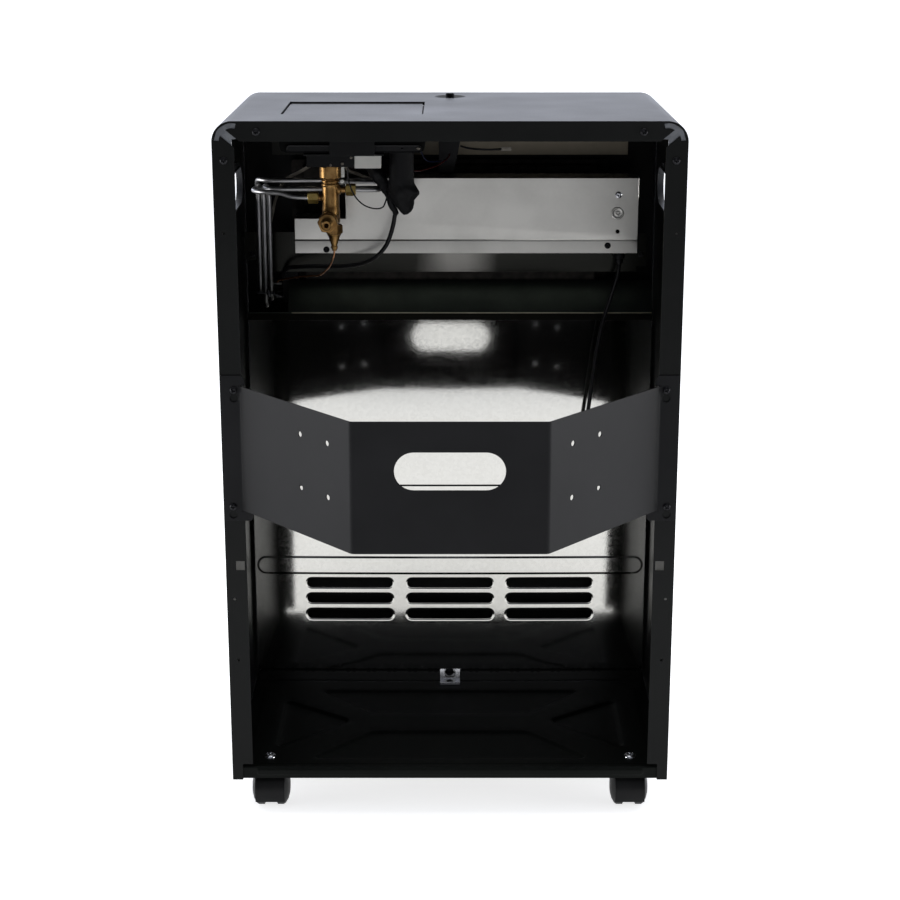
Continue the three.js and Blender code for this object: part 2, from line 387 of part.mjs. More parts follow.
for (const [x, z] of GUARD_SCREWS) restraint = cut(restraint,
  prismT(circle(x, z - KEY_LIFT, 4.2, 12), -5, 3),
  prismT([[x - 2.4, z - KEY_LIFT], [x + 2.4, z - KEY_LIFT], [x + 2.4, z + 1.2], [x + 1.2, z + 2.4], [x - 1.2, z + 2.4], [x - 2.4, z + 1.2]], -5, 3));
const ux = (ox - nx) / Math.hypot(ox - nx, GUARD_OUT - 1.5), ut = -(GUARD_OUT - 1.5) / Math.hypot(ox - nx, GUARD_OUT - 1.5);
const panelLen = Math.hypot(ox - nx, GUARD_OUT - 1.5);
for (const s of [1, -1]) for (const u of [0.56, 0.8]) for (const z of [441.5, 387.8]) {
  const hx = ox - ux * panelLen * u, ht = g0 + ut * panelLen * u;
  const g = new THREE.CylinderGeometry(2.75, 2.75, 12, 10);
  g.rotateZ(-s * Math.atan2(-ut, ux));              // axis turned square to the slanted panel
  g.translate(s * hx, Y(ht), z);
  restraint = restraint.subtract(toSolid(g));
}
piece('bottle_restraint', restraint, 'black_guard');
const GS = ['restraint_screw_upper_right', 'restraint_screw_lower_right', 'restraint_screw_upper_left', 'restraint_screw_lower_left'];
GUARD_SCREWS.forEach(([x, z], i) => piece(GS[i], screwHead(x, z, 3.7, g0, 8), 'screw_black'));

// ---------------------------------------------------------------- casters
// twin wheels on one axle, a hood over them, a swivelling stem under the base plate
for (const [tag, t] of [['rear', CASTER.tRear], ['front', CASTER.tFront]]) for (const s of [1, -1]) {
  const name = `${tag}_${s > 0 ? 'right' : 'left'}`, cx = s * CASTER.x, at = t - CASTER.trail, r = CASTER.r;
  const arc = (rad, a0, a1, n) => Array.from({ length: n + 1 }, (_, i) => { const a = (a0 + (a1 - a0) * i / n) * Math.PI / 180; return [at + rad * Math.cos(a), r + rad * Math.sin(a)]; });
  const fender = [...arc(22.3, 8, 207.5, 18), ...arc(20.8, 207.5, 8, 18)];
  const web = [...arc(22, -25, 205, 8)];
  let hood = join(prismX(fender, cx - 15.8, cx + 15.8), prismX(web, cx - 5.6, cx + 5.6),
    rod('z', 9, 34, 47, cx, t, 10), rod('z', 5.5, 46, 49.9, cx, t, 8));
  hood = cut(hood, rod('x', 20.8, cx + 6.2, cx + 24, at, r, 28), rod('x', 20.8, cx - 24, cx - 6.2, at, r, 28), rod('x', 3, cx - 9, cx + 9, at, r, 8));
  piece(`caster_hood_${name}`, hood, 'black_plastic');
  const wheel = latheX([[0, -20.2], [8, -19.8], [14, -18.2], [18.4, -15.6], [20, -13.4], [20, -6.9], [2.5, -6.9], [2.5, 6.9], [20, 6.9], [20, 13.4], [18.4, 15.6], [14, 18.2], [8, 19.8], [0, 20.2]].map(([a, b]) => [a, b + cx]), at, r, 28);
  piece(`caster_wheels_${name}`, wheel, 'wheel_plastic');
}

export default heater;
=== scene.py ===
import bpy, bmesh, json, math
import numpy as np
from mathutils import Vector, Matrix, noise
from mathutils.geometry import delaunay_2d_cdt


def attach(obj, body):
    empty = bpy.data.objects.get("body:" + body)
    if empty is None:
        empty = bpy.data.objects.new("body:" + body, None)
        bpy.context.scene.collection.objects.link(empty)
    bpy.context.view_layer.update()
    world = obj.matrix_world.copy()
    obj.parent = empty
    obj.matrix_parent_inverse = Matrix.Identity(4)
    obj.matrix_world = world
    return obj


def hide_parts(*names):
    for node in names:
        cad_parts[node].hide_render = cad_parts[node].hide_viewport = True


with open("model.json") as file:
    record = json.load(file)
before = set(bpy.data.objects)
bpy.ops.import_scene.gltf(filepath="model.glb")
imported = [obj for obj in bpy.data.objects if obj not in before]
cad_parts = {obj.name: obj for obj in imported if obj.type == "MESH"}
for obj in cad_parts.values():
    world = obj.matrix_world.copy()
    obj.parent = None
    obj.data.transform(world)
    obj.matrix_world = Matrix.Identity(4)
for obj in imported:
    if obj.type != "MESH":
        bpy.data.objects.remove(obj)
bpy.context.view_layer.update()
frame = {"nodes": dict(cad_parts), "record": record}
N = frame["nodes"]
YR = 76.5                      # rear plane of the casing, mm
pi = math.pi


def P(x, t, z):
    """A point in millimetres: x, distance forward from the rear plane, height; returned in metres in the frame."""
    return Vector((x / 1000, (YR - t) / 1000, z / 1000))


# ------------------------------------------------------------------ camera
cam_data = bpy.data.cameras.new("camera")
cam = bpy.data.objects.new("camera", cam_data)
bpy.context.scene.collection.objects.link(cam)
cam.location = (0.0, 1.9265, 0.934)
cam.rotation_euler = (math.radians(74.0), 0.0, math.radians(180.0))
cam_data.sensor_width = 36.0
cam_data.lens = 76.4
cam_data.clip_start, cam_data.clip_end = 0.05, 200.0
bpy.context.scene.camera = cam


# ------------------------------------------------------------------ shader helpers
class Mat:
    """A small builder for procedural materials on the Principled shader, in object space, scales in 1/m."""

    def __init__(self, name):
        self.m = bpy.data.materials.new(name)
        self.m.use_nodes = True
        self.t = self.m.node_tree
        self.t.nodes.clear()
        self.out = self.n("ShaderNodeOutputMaterial")
        self.b = self.n("ShaderNodeBsdfPrincipled")
        self.link(self.b.outputs[0], self.out.inputs[0])
        self.co = self.n("ShaderNodeTexCoord").outputs["Object"]
        self.height = None

    def n(self, kind, **k):
        x = self.t.nodes.new(kind)
        for a, v in k.items():
            setattr(x, a, v)
        return x

    def link(self, a, b):
        self.t.links.new(a, b)

    def set(self, **k):
        names = {"rough": "Roughness", "metal": "Metallic", "spec": "Specular IOR Level", "coat": "Coat Weight",
                 "coat_rough": "Coat Roughness", "sheen": "Sheen Weight", "ior": "IOR", "aniso": "Anisotropic",
                 "sss": "Subsurface Weight", "trans": "Transmission Weight"}
        for a, v in k.items():
            self.b.inputs[names[a]].default_value = v
        return self

    def mapped(self, scale=(1, 1, 1), rot=(0, 0, 0)):
        m = self.n("ShaderNodeMapping")
        m.inputs["Scale"].default_value = scale
        m.inputs["Rotation"].default_value = rot
        self.link(self.co, m.inputs["Vector"])
        return m.outputs[0]

    def noise(self, scale, detail=2.0, rough=0.5, co=None, dist=0.0):
        x = self.n("ShaderNodeTexNoise")
        x.inputs["Scale"].default_value = scale
        x.inputs["Detail"].default_value = detail
        x.inputs["Roughness"].default_value = rough
        x.inputs["Distortion"].default_value = dist
        self.link(co or self.co, x.inputs["Vector"])
        return x.outputs["Fac"]

    def cells(self, scale, feature="F1", co=None, out="Distance", rnd=1.0):
        x = self.n("ShaderNodeTexVoronoi", feature=feature)
        x.inputs["Scale"].default_value = scale
        x.inputs["Randomness"].default_value = rnd
        self.link(co or self.co, x.inputs["Vector"])
        return x.outputs[out]

    def ramp(self, fac, stops, interp="LINEAR"):
        r = self.n("ShaderNodeValToRGB")
        r.color_ramp.interpolation = interp
        e = r.color_ramp.elements
        while len(e) < len(stops):
            e.new(0.5)
        for i, (p, c) in enumerate(stops):
            e[i].position = p
            e[i].color = (c, c, c, 1) if isinstance(c, (int, float)) else (*c, 1)
        self.link(fac, r.inputs[0])
        return r.outputs[0]

    def range(self, fac, a, b, lo=0.0, hi=1.0):
        m = self.n("ShaderNodeMapRange")
        for i, v in ((1, a), (2, b), (3, lo), (4, hi)):
            m.inputs[i].default_value = v
        self.link(fac, m.inputs[0])
        return m.outputs[0]

    def math(self, op, a, b=None, clamp=False):
        m = self.n("ShaderNodeMath", operation=op, use_clamp=clamp)
        for i, v in enumerate((a, b)):
            if v is None:
                continue
            if isinstance(v, (int, float)):
                m.inputs[i].default_value = v
            else:
                self.link(v, m.inputs[i])
        return m.outputs[0]

    def mix(self, fac, a, b, mode="MIX"):
        m = self.n("ShaderNodeMix", data_type="RGBA", blend_type=mode)
        for i, v in ((0, fac), (6, a), (7, b)):
            if isinstance(v, (int, float)):
                m.inputs[i].default_value = v if i == 0 else (v, v, v, 1)
            elif isinstance(v, (tuple, list)):
                m.inputs[i].default_value = (*v, 1)
            else:
                self.link(v, m.inputs[i])
        return m.outputs[2]

    def color(self, sock):
        if isinstance(sock, (tuple, list)):
            self.b.inputs["Base Color"].default_value = (*sock, 1)
        else:
            self.link(sock, self.b.inputs["Base Color"])
        return self

    def rough(self, sock):
        self.link(sock, self.b.inputs["Roughness"])
        return self

    def bump(self, sock, strength, distance):
        b = self.n("ShaderNodeBump")
        b.inputs["Strength"].default_value = strength
        b.inputs["Distance"].default_value = distance
        self.link(sock, b.inputs["Height"])
        if self.height is not None:
            self.link(self.height, b.inputs["Normal"])
        self.height = b.outputs[0]
        self.link(self.height, self.b.inputs["Normal"])
        return self

    def axis(self, i):
        s = self.n("ShaderNodeSeparateXYZ")
        self.link(self.co, s.inputs[0])
        return s.outputs[i]


def coat(name, base, rough, spec, peel=0.10, scale=1100.0, dust=0.0, inner=None):
    """Powder coat on steel: fine orange peel, slow change of gloss, a few pale specks."""
    m = Mat(name)
    slow = m.noise(9.0, 3.0, 0.55)
    fine = m.noise(scale, 2.0, 0.6)
    lift = tuple(min(1, c * 1.35 + 0.0008) for c in base)
    col = m.mix(m.range(slow, 0.35, 0.68), base, lift)
    if dust:
        sp = m.cells(70.0)
        gate = m.math("MULTIPLY", m.math("LESS_THAN", sp, 0.028), m.math("GREATER_THAN", m.noise(31.0, 0.0), 0.56))
        col = m.mix(m.math("MULTIPLY", gate, dust), col, (0.30, 0.30, 0.28))
    gloss = m.range(m.math("ADD", m.math("MULTIPLY", slow, 0.6), m.math("MULTIPLY", fine, 0.4)), 0.3, 0.7, rough - 0.05, rough + 0.06)
    if inner:                                     # painted shade: the face turned towards -Y takes the darker inner colour, and it is made rougher
        side = m.n("ShaderNodeSeparateXYZ")
        m.link(m.n("ShaderNodeTexCoord").outputs["Normal"], side.inputs[0])
        back = m.range(side.outputs[1], -0.25, 0.05, 1.0, 0.0)
        col = m.mix(back, col, inner)
        gloss = m.math("ADD", gloss, m.math("MULTIPLY", back, 0.45))
    m.color(col)
    m.rough(gloss)
    m.set(spec=spec)
    m.bump(m.noise(260.0, 2.0, 0.5), peel * 0.55, 0.0004)
    m.bump(fine, peel, 0.00022)
    return m.m


def zinc(name, lo, hi, rough, spread, spangle=190.0, bump=0.05, streak=0.0, lined=0.03):
    """Zinc coated steel: crystal cells that differ in tone and gloss, fine rolling lines."""
    m = Mat(name)
    warp = m.n("ShaderNodeVectorMath", operation="ADD")
    tex = m.n("ShaderNodeTexNoise")
    tex.inputs["Scale"].default_value = spangle * 1.3
    m.link(m.co, tex.inputs["Vector"])
    sc = m.n("ShaderNodeVectorMath", operation="SCALE")
    m.link(tex.outputs["Color"], sc.inputs[0])
    sc.inputs["Scale"].default_value = 0.30 / spangle
    m.link(m.co, warp.inputs[0]); m.link(sc.outputs[0], warp.inputs[1])
    cell = m.cells(spangle, out="Color", co=warp.outputs[0])
    grey = m.n("ShaderNodeSeparateColor"); m.link(cell, grey.inputs[0])
    c1, c2 = grey.outputs[0], grey.outputs[1]
    fog = m.noise(26.0, 3.0, 0.6)
    tone = m.math("ADD", m.math("MULTIPLY", c1, 0.55), m.math("MULTIPLY", fog, 0.45))
    m.color(m.mix(m.range(tone, 0.2, 0.8), lo, hi))
    m.set(metal=1.0)
    lines = m.noise(340.0, 2.0, 0.6, co=m.mapped((0.06, 1.0, 1.0)))
    r = m.math("ADD", m.range(c2, 0.0, 1.0, rough - spread, rough + spread), m.range(lines, 0.3, 0.7, -lined, lined))
    m.rough(m.math("ADD", r, m.range(fog, 0.3, 0.7, -spread * 0.5, spread * 0.5)))
    if bump:
        m.bump(c1, bump, 0.00006)
        m.bump(m.noise(spangle * 1.7, 2.0, 0.5), bump * 1.6, 0.00018)
    if streak:
        m.bump(lines, streak, 0.0001)
    return m.m


def plastic(name, base, rough, spec=0.4, grain=0.18, scale=1500.0, swing=0.25):
    m = Mat(name)
    slow = m.noise(40.0, 3.0, 0.6)
    m.color(m.mix(m.range(slow, 0.3, 0.7), tuple(c * (1 - swing) for c in base), tuple(min(1, c * (1 + swing)) for c in base)))
    fine = m.noise(scale, 2.0, 0.6)
    m.rough(m.range(m.math("ADD", m.math("MULTIPLY", fine, 0.5), m.math("MULTIPLY", slow, 0.5)), 0.3, 0.7, rough - 0.06, rough + 0.06))
    m.set(spec=spec)
    m.bump(fine, grain, 0.00012)
    return m.m


def metal(name, lo, hi, rough, spread=0.06, scale=60.0, fine=900.0, bump=0.05, stretch=(1, 1, 1)):
    m = Mat(name)
    slow = m.noise(scale, 4.0, 0.6)
    f = m.noise(fine, 2.0, 0.6, co=m.mapped(stretch))
    m.color(m.mix(m.range(slow, 0.32, 0.68), lo, hi))
    m.set(metal=1.0)
    m.rough(m.range(m.math("ADD", m.math("MULTIPLY", slow, 0.5), m.math("MULTIPLY", f, 0.5)), 0.3, 0.7, rough - spread, rough + spread))
    m.bump(f, bump, 0.0001)
    return m.m


M = {}
M["black_case"] = coat("black_case", (0.0048, 0.0052, 0.0046), 0.40, 0.15)
M["black_bracket"] = coat("black_bracket", (0.0040, 0.0042, 0.0042), 0.46, 0.16)
# the guard's inner face is darkened with painted shade
M["black_guard"] = coat("black_guard", (0.0125, 0.0125, 0.0130), 0.44, 0.10, inner=(0.0010, 0.0010, 0.0010))
M["black_base"] = coat("black_base", (0.0028, 0.0036, 0.0028), 0.40, 0.10, dust=0.35)
M["galvanised"] = zinc("galvanised", (0.64, 0.635, 0.61), (0.74, 0.735, 0.70), 0.26, 0.035, spangle=210.0, bump=0.018)
M["galvanised_panel"] = zinc("galvanised_panel", (0.665, 0.652, 0.60), (0.71, 0.697, 0.645), 0.078, 0.016, spangle=330.0, bump=0.030, lined=0.010)
M["galvanised_dark"] = zinc("galvanised_dark", (0.085, 0.090, 0.082), (0.150, 0.152, 0.138), 0.34, 0.05, spangle=150.0, bump=0.04)
def tube_metal(name):
    m = Mat(name)
    slow = m.noise(60.0, 4.0, 0.6)
    clean = m.mix(m.range(slow, 0.32, 0.68), (0.46, 0.455, 0.45), (0.54, 0.535, 0.53))
    # painted shade: below about 0.54-0.60 m the tubes darken to near black where they run in shadow; clean is only the
    # unshaded tone
    m.color(m.mix(m.range(m.math("ADD", m.axis(2), m.math("MULTIPLY", slow, 0.02)), 0.535, 0.600), (0.10, 0.10, 0.095), clean))
    m.set(metal=1.0)
    m.rough(m.range(slow, 0.3, 0.7, 0.36, 0.44))
    m.bump(m.noise(500.0, 2.0, 0.6), 0.006, 0.0001)
    return m.m


M["aluminium_tube"] = tube_metal("aluminium_tube")
M["brass"] = metal("brass", (0.20, 0.105, 0.034), (0.42, 0.25, 0.092), 0.37, 0.05, scale=110.0, fine=700.0, bump=0.03)
M["brass_nut"] = metal("brass_nut", (0.74, 0.50, 0.13), (0.90, 0.66, 0.22), 0.30, 0.05, scale=160.0, bump=0.02)
M["copper"] = metal("copper", (0.42, 0.19, 0.095), (0.62, 0.31, 0.165), 0.34, 0.04, scale=40.0, fine=300.0, bump=0.008)
M["black_plastic"] = plastic("black_plastic", (0.0048, 0.0048, 0.0050), 0.46, 0.22)
M["hood_plastic"] = plastic("hood_plastic", (0.0065, 0.0065, 0.0065), 0.42, 0.22, grain=0.22, scale=1100.0)
M["grey_plastic"] = plastic("grey_plastic", (0.030, 0.031, 0.034), 0.45, 0.35)
M["white_plastic"] = plastic("white_plastic", (0.68, 0.67, 0.61), 0.42, 0.5, swing=0.06)
M["black_rubber"] = plastic("black_rubber", (0.0055, 0.0055, 0.0058), 0.62, 0.22, grain=0.30, scale=900.0)
M["lead_black"] = plastic("lead_black", (0.0050, 0.0050, 0.0054), 0.42, 0.32, grain=0.10, scale=700.0)
M["screw_black"] = metal("screw_black", (0.020, 0.020, 0.021), (0.038, 0.038, 0.040), 0.34, 0.05, scale=300.0)
M["chrome_wire"] = metal("chrome_wire", (0.74, 0.75, 0.77), (0.86, 0.86, 0.87), 0.10, 0.04, scale=80.0)
M["ceramic"] = plastic("ceramic", (0.62, 0.54, 0.40), 0.85, 0.25, grain=0.5, scale=900.0, swing=0.10)
M["spindle_steel"] = metal("spindle_steel", (0.42, 0.42, 0.43), (0.60, 0.60, 0.61), 0.26, 0.06, scale=150.0)
M["wire_red"] = plastic("wire_red", (0.034, 0.0035, 0.003), 0.50, 0.12, grain=0.1, scale=700.0)
M["wire_blue"] = plastic("wire_blue", (0.003, 0.006, 0.022), 0.50, 0.12, grain=0.1, scale=700.0)
M["stay_grey"] = metal("stay_grey", (0.16, 0.145, 0.12), (0.24, 0.22, 0.19), 0.36, 0.06, scale=90.0)


def box_zinc(name):
    """Close-grained zinc sheet: cloudy tone with a faint grain, no crystal pattern."""
    m = Mat(name)
    fog = m.noise(15.0, 3.0, 0.5, dist=0.5)
    grain = m.noise(260.0, 1.0, 0.5)
    tone = m.math("ADD", m.math("MULTIPLY", fog, 0.90), m.math("MULTIPLY", grain, 0.10))
    m.color(m.mix(m.range(tone, 0.36, 0.64), (0.622, 0.606, 0.556), (0.715, 0.696, 0.640)))
    m.set(metal=1.0)
    m.rough(m.range(fog, 0.3, 0.7, 0.33, 0.29))
    return m.m


M["galvanised_smooth"] = box_zinc("galvanised_smooth")


def strip_metal(name):
    """Zinc of the back plate, dull, darkened towards both ends with painted shade."""
    m = Mat(name)
    slow = m.noise(24.0, 3.0, 0.6)
    clean = m.mix(m.range(slow, 0.3, 0.7), (0.215, 0.208, 0.188), (0.26, 0.25, 0.228))
    far = m.math("ADD", m.math("ABSOLUTE", m.math("ADD", m.axis(0), 0.007)), m.math("MULTIPLY", slow, 0.02))
    # painted shade: the far ends go near black; clean is only the unshaded tone
    m.color(m.mix(m.range(far, 0.022, 0.056), clean, (0.030, 0.030, 0.026)))
    m.set(metal=1.0)
    m.rough(m.range(slow, 0.3, 0.7, 0.18, 0.21))
    return m.m


M["galvanised_strip"] = strip_metal("galvanised_strip")


def shield_metal(name):
    """Heat shield: warm, darkened towards +X with painted shade."""
    m = Mat(name)
    slow = m.noise(20.0, 3.0, 0.6)
    warm = m.mix(m.range(slow, 0.3, 0.7), (0.20, 0.175, 0.130), (0.28, 0.245, 0.185))
    m.color(m.mix(m.range(m.axis(0), -0.03, 0.07), warm, (0.030, 0.030, 0.027)))
    m.set(metal=1.0)
    m.rough(m.range(slow, 0.3, 0.7, 0.33, 0.40))
    m.bump(m.noise(260.0, 2.0, 0.6), 0.01, 0.0001)
    return m.m


M["shield_warm"] = shield_metal("shield_warm")


def shelf_metal(name):
    """Zinc of the sloped shelf, darkened with painted shade; its turned-down lip is darker still, painted shade too."""
    m = Mat(name)
    slow = m.noise(18.0, 3.0, 0.55)
    fine = m.noise(700.0, 2.0, 0.6)
    slope = m.mix(m.range(m.math("ADD", m.math("MULTIPLY", slow, 0.8), m.math("MULTIPLY", fine, 0.2)), 0.3, 0.7), (0.038, 0.046, 0.039), (0.062, 0.072, 0.062))
    m.color(m.mix(m.range(m.axis(2), 0.4946, 0.4953), (0.010, 0.010, 0.008), slope))
    m.set(metal=1.0)
    m.rough(m.range(slow, 0.3, 0.7, 0.44, 0.40))
    m.bump(fine, 0.02, 0.00008)
    return m.m


M["shelf_dark"] = shelf_metal("shelf_dark")
# painted shade: the burner body and its frame are near-black, standing for the shadow they sit in
M["burner_dark"] = metal("burner_dark", (0.016, 0.015, 0.014), (0.040, 0.036, 0.032), 0.50, 0.08, scale=70.0, fine=600.0, bump=0.12)
M["bracket_grey"] = zinc("bracket_grey", (0.24, 0.25, 0.26), (0.32, 0.33, 0.34), 0.34, 0.04, spangle=150.0, bump=0.02)
M["lip_bright"] = metal("lip_bright", (0.36, 0.34, 0.25), (0.46, 0.43, 0.32), 0.36, 0.05, scale=120.0)
M["clip_zinc"] = zinc("clip_zinc", (0.84, 0.84, 0.85), (0.92, 0.92, 0.93), 0.16, 0.02, spangle=200.0, bump=0.01)
M["scoop_shadow_black"] = plastic("scoop_shadow_black", (0.0014, 0.0014, 0.0015), 0.85, 0.02, grain=0.30, scale=900.0)
M["tray_black"] = plastic("tray_black", (0.0026, 0.0028, 0.0026), 0.62, 0.08, grain=0.22, scale=1100.0)
M["wheel_plastic"] = plastic("wheel_plastic", (0.0130, 0.0130, 0.0125), 0.40, 0.30, grain=0.25)
SLOT_OF = {r["node"]: r["material_slot"] for r in frame["record"]["subparts"]}
BODY_OF = {n: b for b, ns in frame["record"]["behaviour"]["bodies"].items() for n in ns}


# ------------------------------------------------------------------ mesh helpers
def finish_piece(o, mat, body="cabinet", nodes=(), sharp=38.0, weighted=True, smooth=True):
    me = o.data
    if isinstance(me, bpy.types.Mesh):
        me.materials.clear()
        me.materials.append(M[mat] if isinstance(mat, str) else mat)
        if smooth:
            me.shade_smooth()
            me.set_sharp_from_angle(angle=math.radians(sharp))
            if weighted:
                w = o.modifiers.new("weighted", "WEIGHTED_NORMAL")
                w.keep_sharp = True
    else:
        me.materials.clear()
        me.materials.append(M[mat] if isinstance(mat, str) else mat)
    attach(o, body)
    if nodes:
        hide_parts(*([nodes] if isinstance(nodes, str) else nodes))
    return o


def from_bm(bm, name):
    me = bpy.data.meshes.new(name)
    bm.normal_update()
    bm.to_mesh(me)
    bm.free()
    o = bpy.data.objects.new(name, me)
    bpy.context.scene.collection.objects.link(o)
    return o


def from_data(name, verts, faces):
    me = bpy.data.meshes.new(name)
    me.from_pydata([tuple(v) for v in verts], [], [tuple(f) for f in faces])
    me.update()
    o = bpy.data.objects.new(name, me)
    bpy.context.scene.collection.objects.link(o)
    return o


def outward(bm):
    bmesh.ops.recalc_face_normals(bm, faces=bm.faces)


def bevelled(bm, width, segs=2, angle=30.0, profile=0.5, test=None):
    edges = [e for e in bm.edges if len(e.link_faces) == 2 and e.calc_face_angle(0) > math.radians(angle) and (test is None or test(e))]
    if edges:
        bmesh.ops.bevel(bm, geom=edges, offset=width / 1000, offset_type="OFFSET", segments=segs, profile=profile,
                        affect="EDGES", clamp_overlap=True)


def refine(node, width=0.35, segs=2, angle=30.0, mat=None, name=None, sharp=38.0, test=None, edit=None, merge=True):
    """A CAD node carried over with rounded edges and clean shading, as a new piece."""
    bm = bmesh.new()
    bm.from_mesh(N[node].data)
    bmesh.ops.remove_doubles(bm, verts=bm.verts, dist=2e-6)
    if merge:                                     # not for a shape with an opening in one flat face
        bmesh.ops.dissolve_limit(bm, angle_limit=math.radians(0.6), use_dissolve_boundaries=False, verts=bm.verts, edges=bm.edges)
    if edit:
        edit(bm)
    if width:
        bevelled(bm, width, segs, angle, test=test)
    bmesh.ops.triangulate(bm, faces=[f for f in bm.faces if len(f.verts) > 4])
    o = from_bm(bm, name or node + "_v")
    return finish_piece(o, mat or SLOT_OF[node], BODY_OF[node], node, sharp)


def smooth_path(points, step=0.0015):
    """Centripetal Catmull-Rom through the points, as three.js draws it, resampled to an even step."""
    p = [Vector(q) for q in points]
    p = [p[0] * 2 - p[1]] + p + [p[-1] * 2 - p[-2]]
    out = []
    for i in range(1, len(p) - 2):
        p0, p1, p2, p3 = p[i - 1], p[i], p[i + 1], p[i + 2]
        t0 = 0.0
        t1 = t0 + max(1e-9, (p1 - p0).length) ** 0.5
        t2 = t1 + max(1e-9, (p2 - p1).length) ** 0.5
        t3 = t2 + max(1e-9, (p3 - p2).length) ** 0.5
        k = max(3, int((p2 - p1).length / step))
        for j in range(k):
            t = t1 + (t2 - t1) * j / k
            a1 = p0 * ((t1 - t) / (t1 - t0)) + p1 * ((t - t0) / (t1 - t0))
            a2 = p1 * ((t2 - t) / (t2 - t1)) + p2 * ((t - t1) / (t2 - t1))
            a3 = p2 * ((t3 - t) / (t3 - t2)) + p3 * ((t - t2) / (t3 - t2))
            b1 = a1 * ((t2 - t) / (t2 - t0)) + a2 * ((t - t0) / (t2 - t0))
            b2 = a2 * ((t3 - t) / (t3 - t1)) + a3 * ((t - t1) / (t3 - t1))
            out.append(b1 * ((t2 - t) / (t2 - t1)) + b2 * ((t - t1) / (t2 - t1)))
    out.append(p[-2])
    return out


def sweep_bm(bm, path, r, n=12, cap="round", closed=False):
    """A round rod along a path, with rounded or flat ends; r may be a function of the share of length."""
    pts = [Vector(q) for q in path]
    m = len(pts)
    tang = []
    for i in range(m):
        if closed:
            d = pts[(i + 1) % m] - pts[i - 1]
        else:
            d = pts[min(i + 1, m - 1)] - pts[max(i - 1, 0)]
        tang.append(d.normalized())
    up = Vector((0, 0, 1)) if abs(tang[0].z) < 0.9 else Vector((1, 0, 0))
    nrm = (up - tang[0] * up.dot(tang[0])).normalized()
    frames = []
    for i in range(m):
        if i:
            axis = tang[i - 1].cross(tang[i])
            if axis.length > 1e-9:
                nrm = Matrix.Rotation(tang[i - 1].angle(tang[i]), 3, axis.normalized()) @ nrm
            nrm = (nrm - tang[i] * nrm.dot(tang[i])).normalized()
        frames.append((nrm.copy(), tang[i].cross(nrm)))
    if closed:
        f0, fe = frames[0][0], frames[-1][0]
        twist = math.atan2(tang[0].dot(fe.cross(f0)), fe.dot(f0))
    rings = []
    for i in range(m):
        rr = r(i / (m - 1)) if callable(r) else r
        a, b = frames[i]
        off = twist * i / m if closed else 0.0
        rings.append([bm.verts.new(pts[i] + (a * math.cos(2 * pi * j / n + off) + b * math.sin(2 * pi * j / n + off)) * rr) for j in range(n)])
    cnt = m if closed else m - 1
    for i in range(cnt):
        a, b = rings[i], rings[(i + 1) % m]
        for j in range(n):
            bm.faces.new((a[j], a[(j + 1) % n], b[(j + 1) % n], b[j]))
    if not closed:
        for ring, c, d, flip in ((rings[0], pts[0], -tang[0], True), (rings[-1], pts[-1], tang[-1], False)):
            rr = (ring[0].co - c).length
            last = ring
            if cap == "round":
                for h, s in ((0.55, 0.82), (0.85, 0.45)):
                    nxt = [bm.verts.new(c + (v.co - c) * s + d * rr * h * 0.6) for v in ring]
                    for j in range(n):
                        q = (last[j], last[(j + 1) % n], nxt[(j + 1) % n], nxt[j])
                        bm.faces.new(q[::-1] if flip else q)
                    last = nxt
            bm.faces.new(last[::-1] if flip else last)
    return bm


def rod(name, pts, r, mat, body="cabinet", nodes=(), n=12, step=0.0015, smooth=True, cap="round"):
    """pts in metres."""
    bm = bmesh.new()
    sweep_bm(bm, smooth_path(pts, step) if smooth else pts, r, n, cap)
    outward(bm)
    return finish_piece(from_bm(bm, name), mat, body, nodes, weighted=False)


def lathe_bm(bm, profile, origin, axis, n=48, flute=None):
    """Turned shape: profile of (radius, height) in mm along axis from origin (metres)."""
    ax = Vector(axis).normalized()
    u = ax.orthogonal().normalized()
    w = ax.cross(u)
    rings = []
    for r, h in profile:
        c = Vector(origin) + ax * (h / 1000)
        if r < 1e-6:
            rings.append([bm.verts.new(c)])
        else:
            ring = []
            for j in range(n):
                a = 2 * pi * j / n
                rr = r if flute is None else flute(r, h, a)
                ring.append(bm.verts.new(c + (u * math.cos(a) + w * math.sin(a)) * rr / 1000))
            rings.append(ring)
    for a, b in zip(rings, rings[1:]):
        if len(a) == 1 and len(b) == 1:
            continue
        for j in range(n):
            k = (j + 1) % n
            if len(a) == 1:
                bm.faces.new((a[0], b[j], b[k]))
            elif len(b) == 1:
                bm.faces.new((a[j], b[0], a[k]))
            else:
                bm.faces.new((a[j], b[j], b[k], a[k]))
    if len(rings[0]) > 1 and len(rings[-1]) > 1 and profile[0] != profile[-1]:
        bm.faces.new(rings[0]); bm.faces.new(rings[-1])
    elif len(rings[0]) > 1 and profile[0] == profile[-1]:
        bmesh.ops.remove_doubles(bm, verts=rings[0] + rings[-1], dist=1e-7)
    return bm


def fillet_profile(prof, rad, segs=3):
    """Rounds the corners of a turned profile; rad in mm, or one value for each point."""
    out = [prof[0]]
    for i in range(1, len(prof) - 1):
        a, b, c = (np.array(prof[i + k], float) for k in (-1, 0, 1))
        r = rad[i] if isinstance(rad, (list, tuple)) else rad
        la, lc = np.linalg.norm(a - b), np.linalg.norm(c - b)
        if r <= 0 or la < 1e-6 or lc < 1e-6:
            out.append(tuple(b)); continue
        d = min(r, la * 0.45, lc * 0.45)
        p, q = b + (a - b) / la * d, b + (c - b) / lc * d
        for k in range(segs + 1):
            t = k / segs
            out.append(tuple((1 - t) ** 2 * p + 2 * t * (1 - t) * b + t * t * q))
    out.append(prof[-1])
    return out


def turned(name, profile, origin, axis, mat, body="cabinet", nodes=(), n=48, fillet=0.0, flute=None, sharp=38.0):
    bm = bmesh.new()
    lathe_bm(bm, fillet_profile(profile, fillet) if fillet else profile, origin, axis, n, flute)
    outward(bm)
    return finish_piece(from_bm(bm, name), mat, body, nodes, sharp)


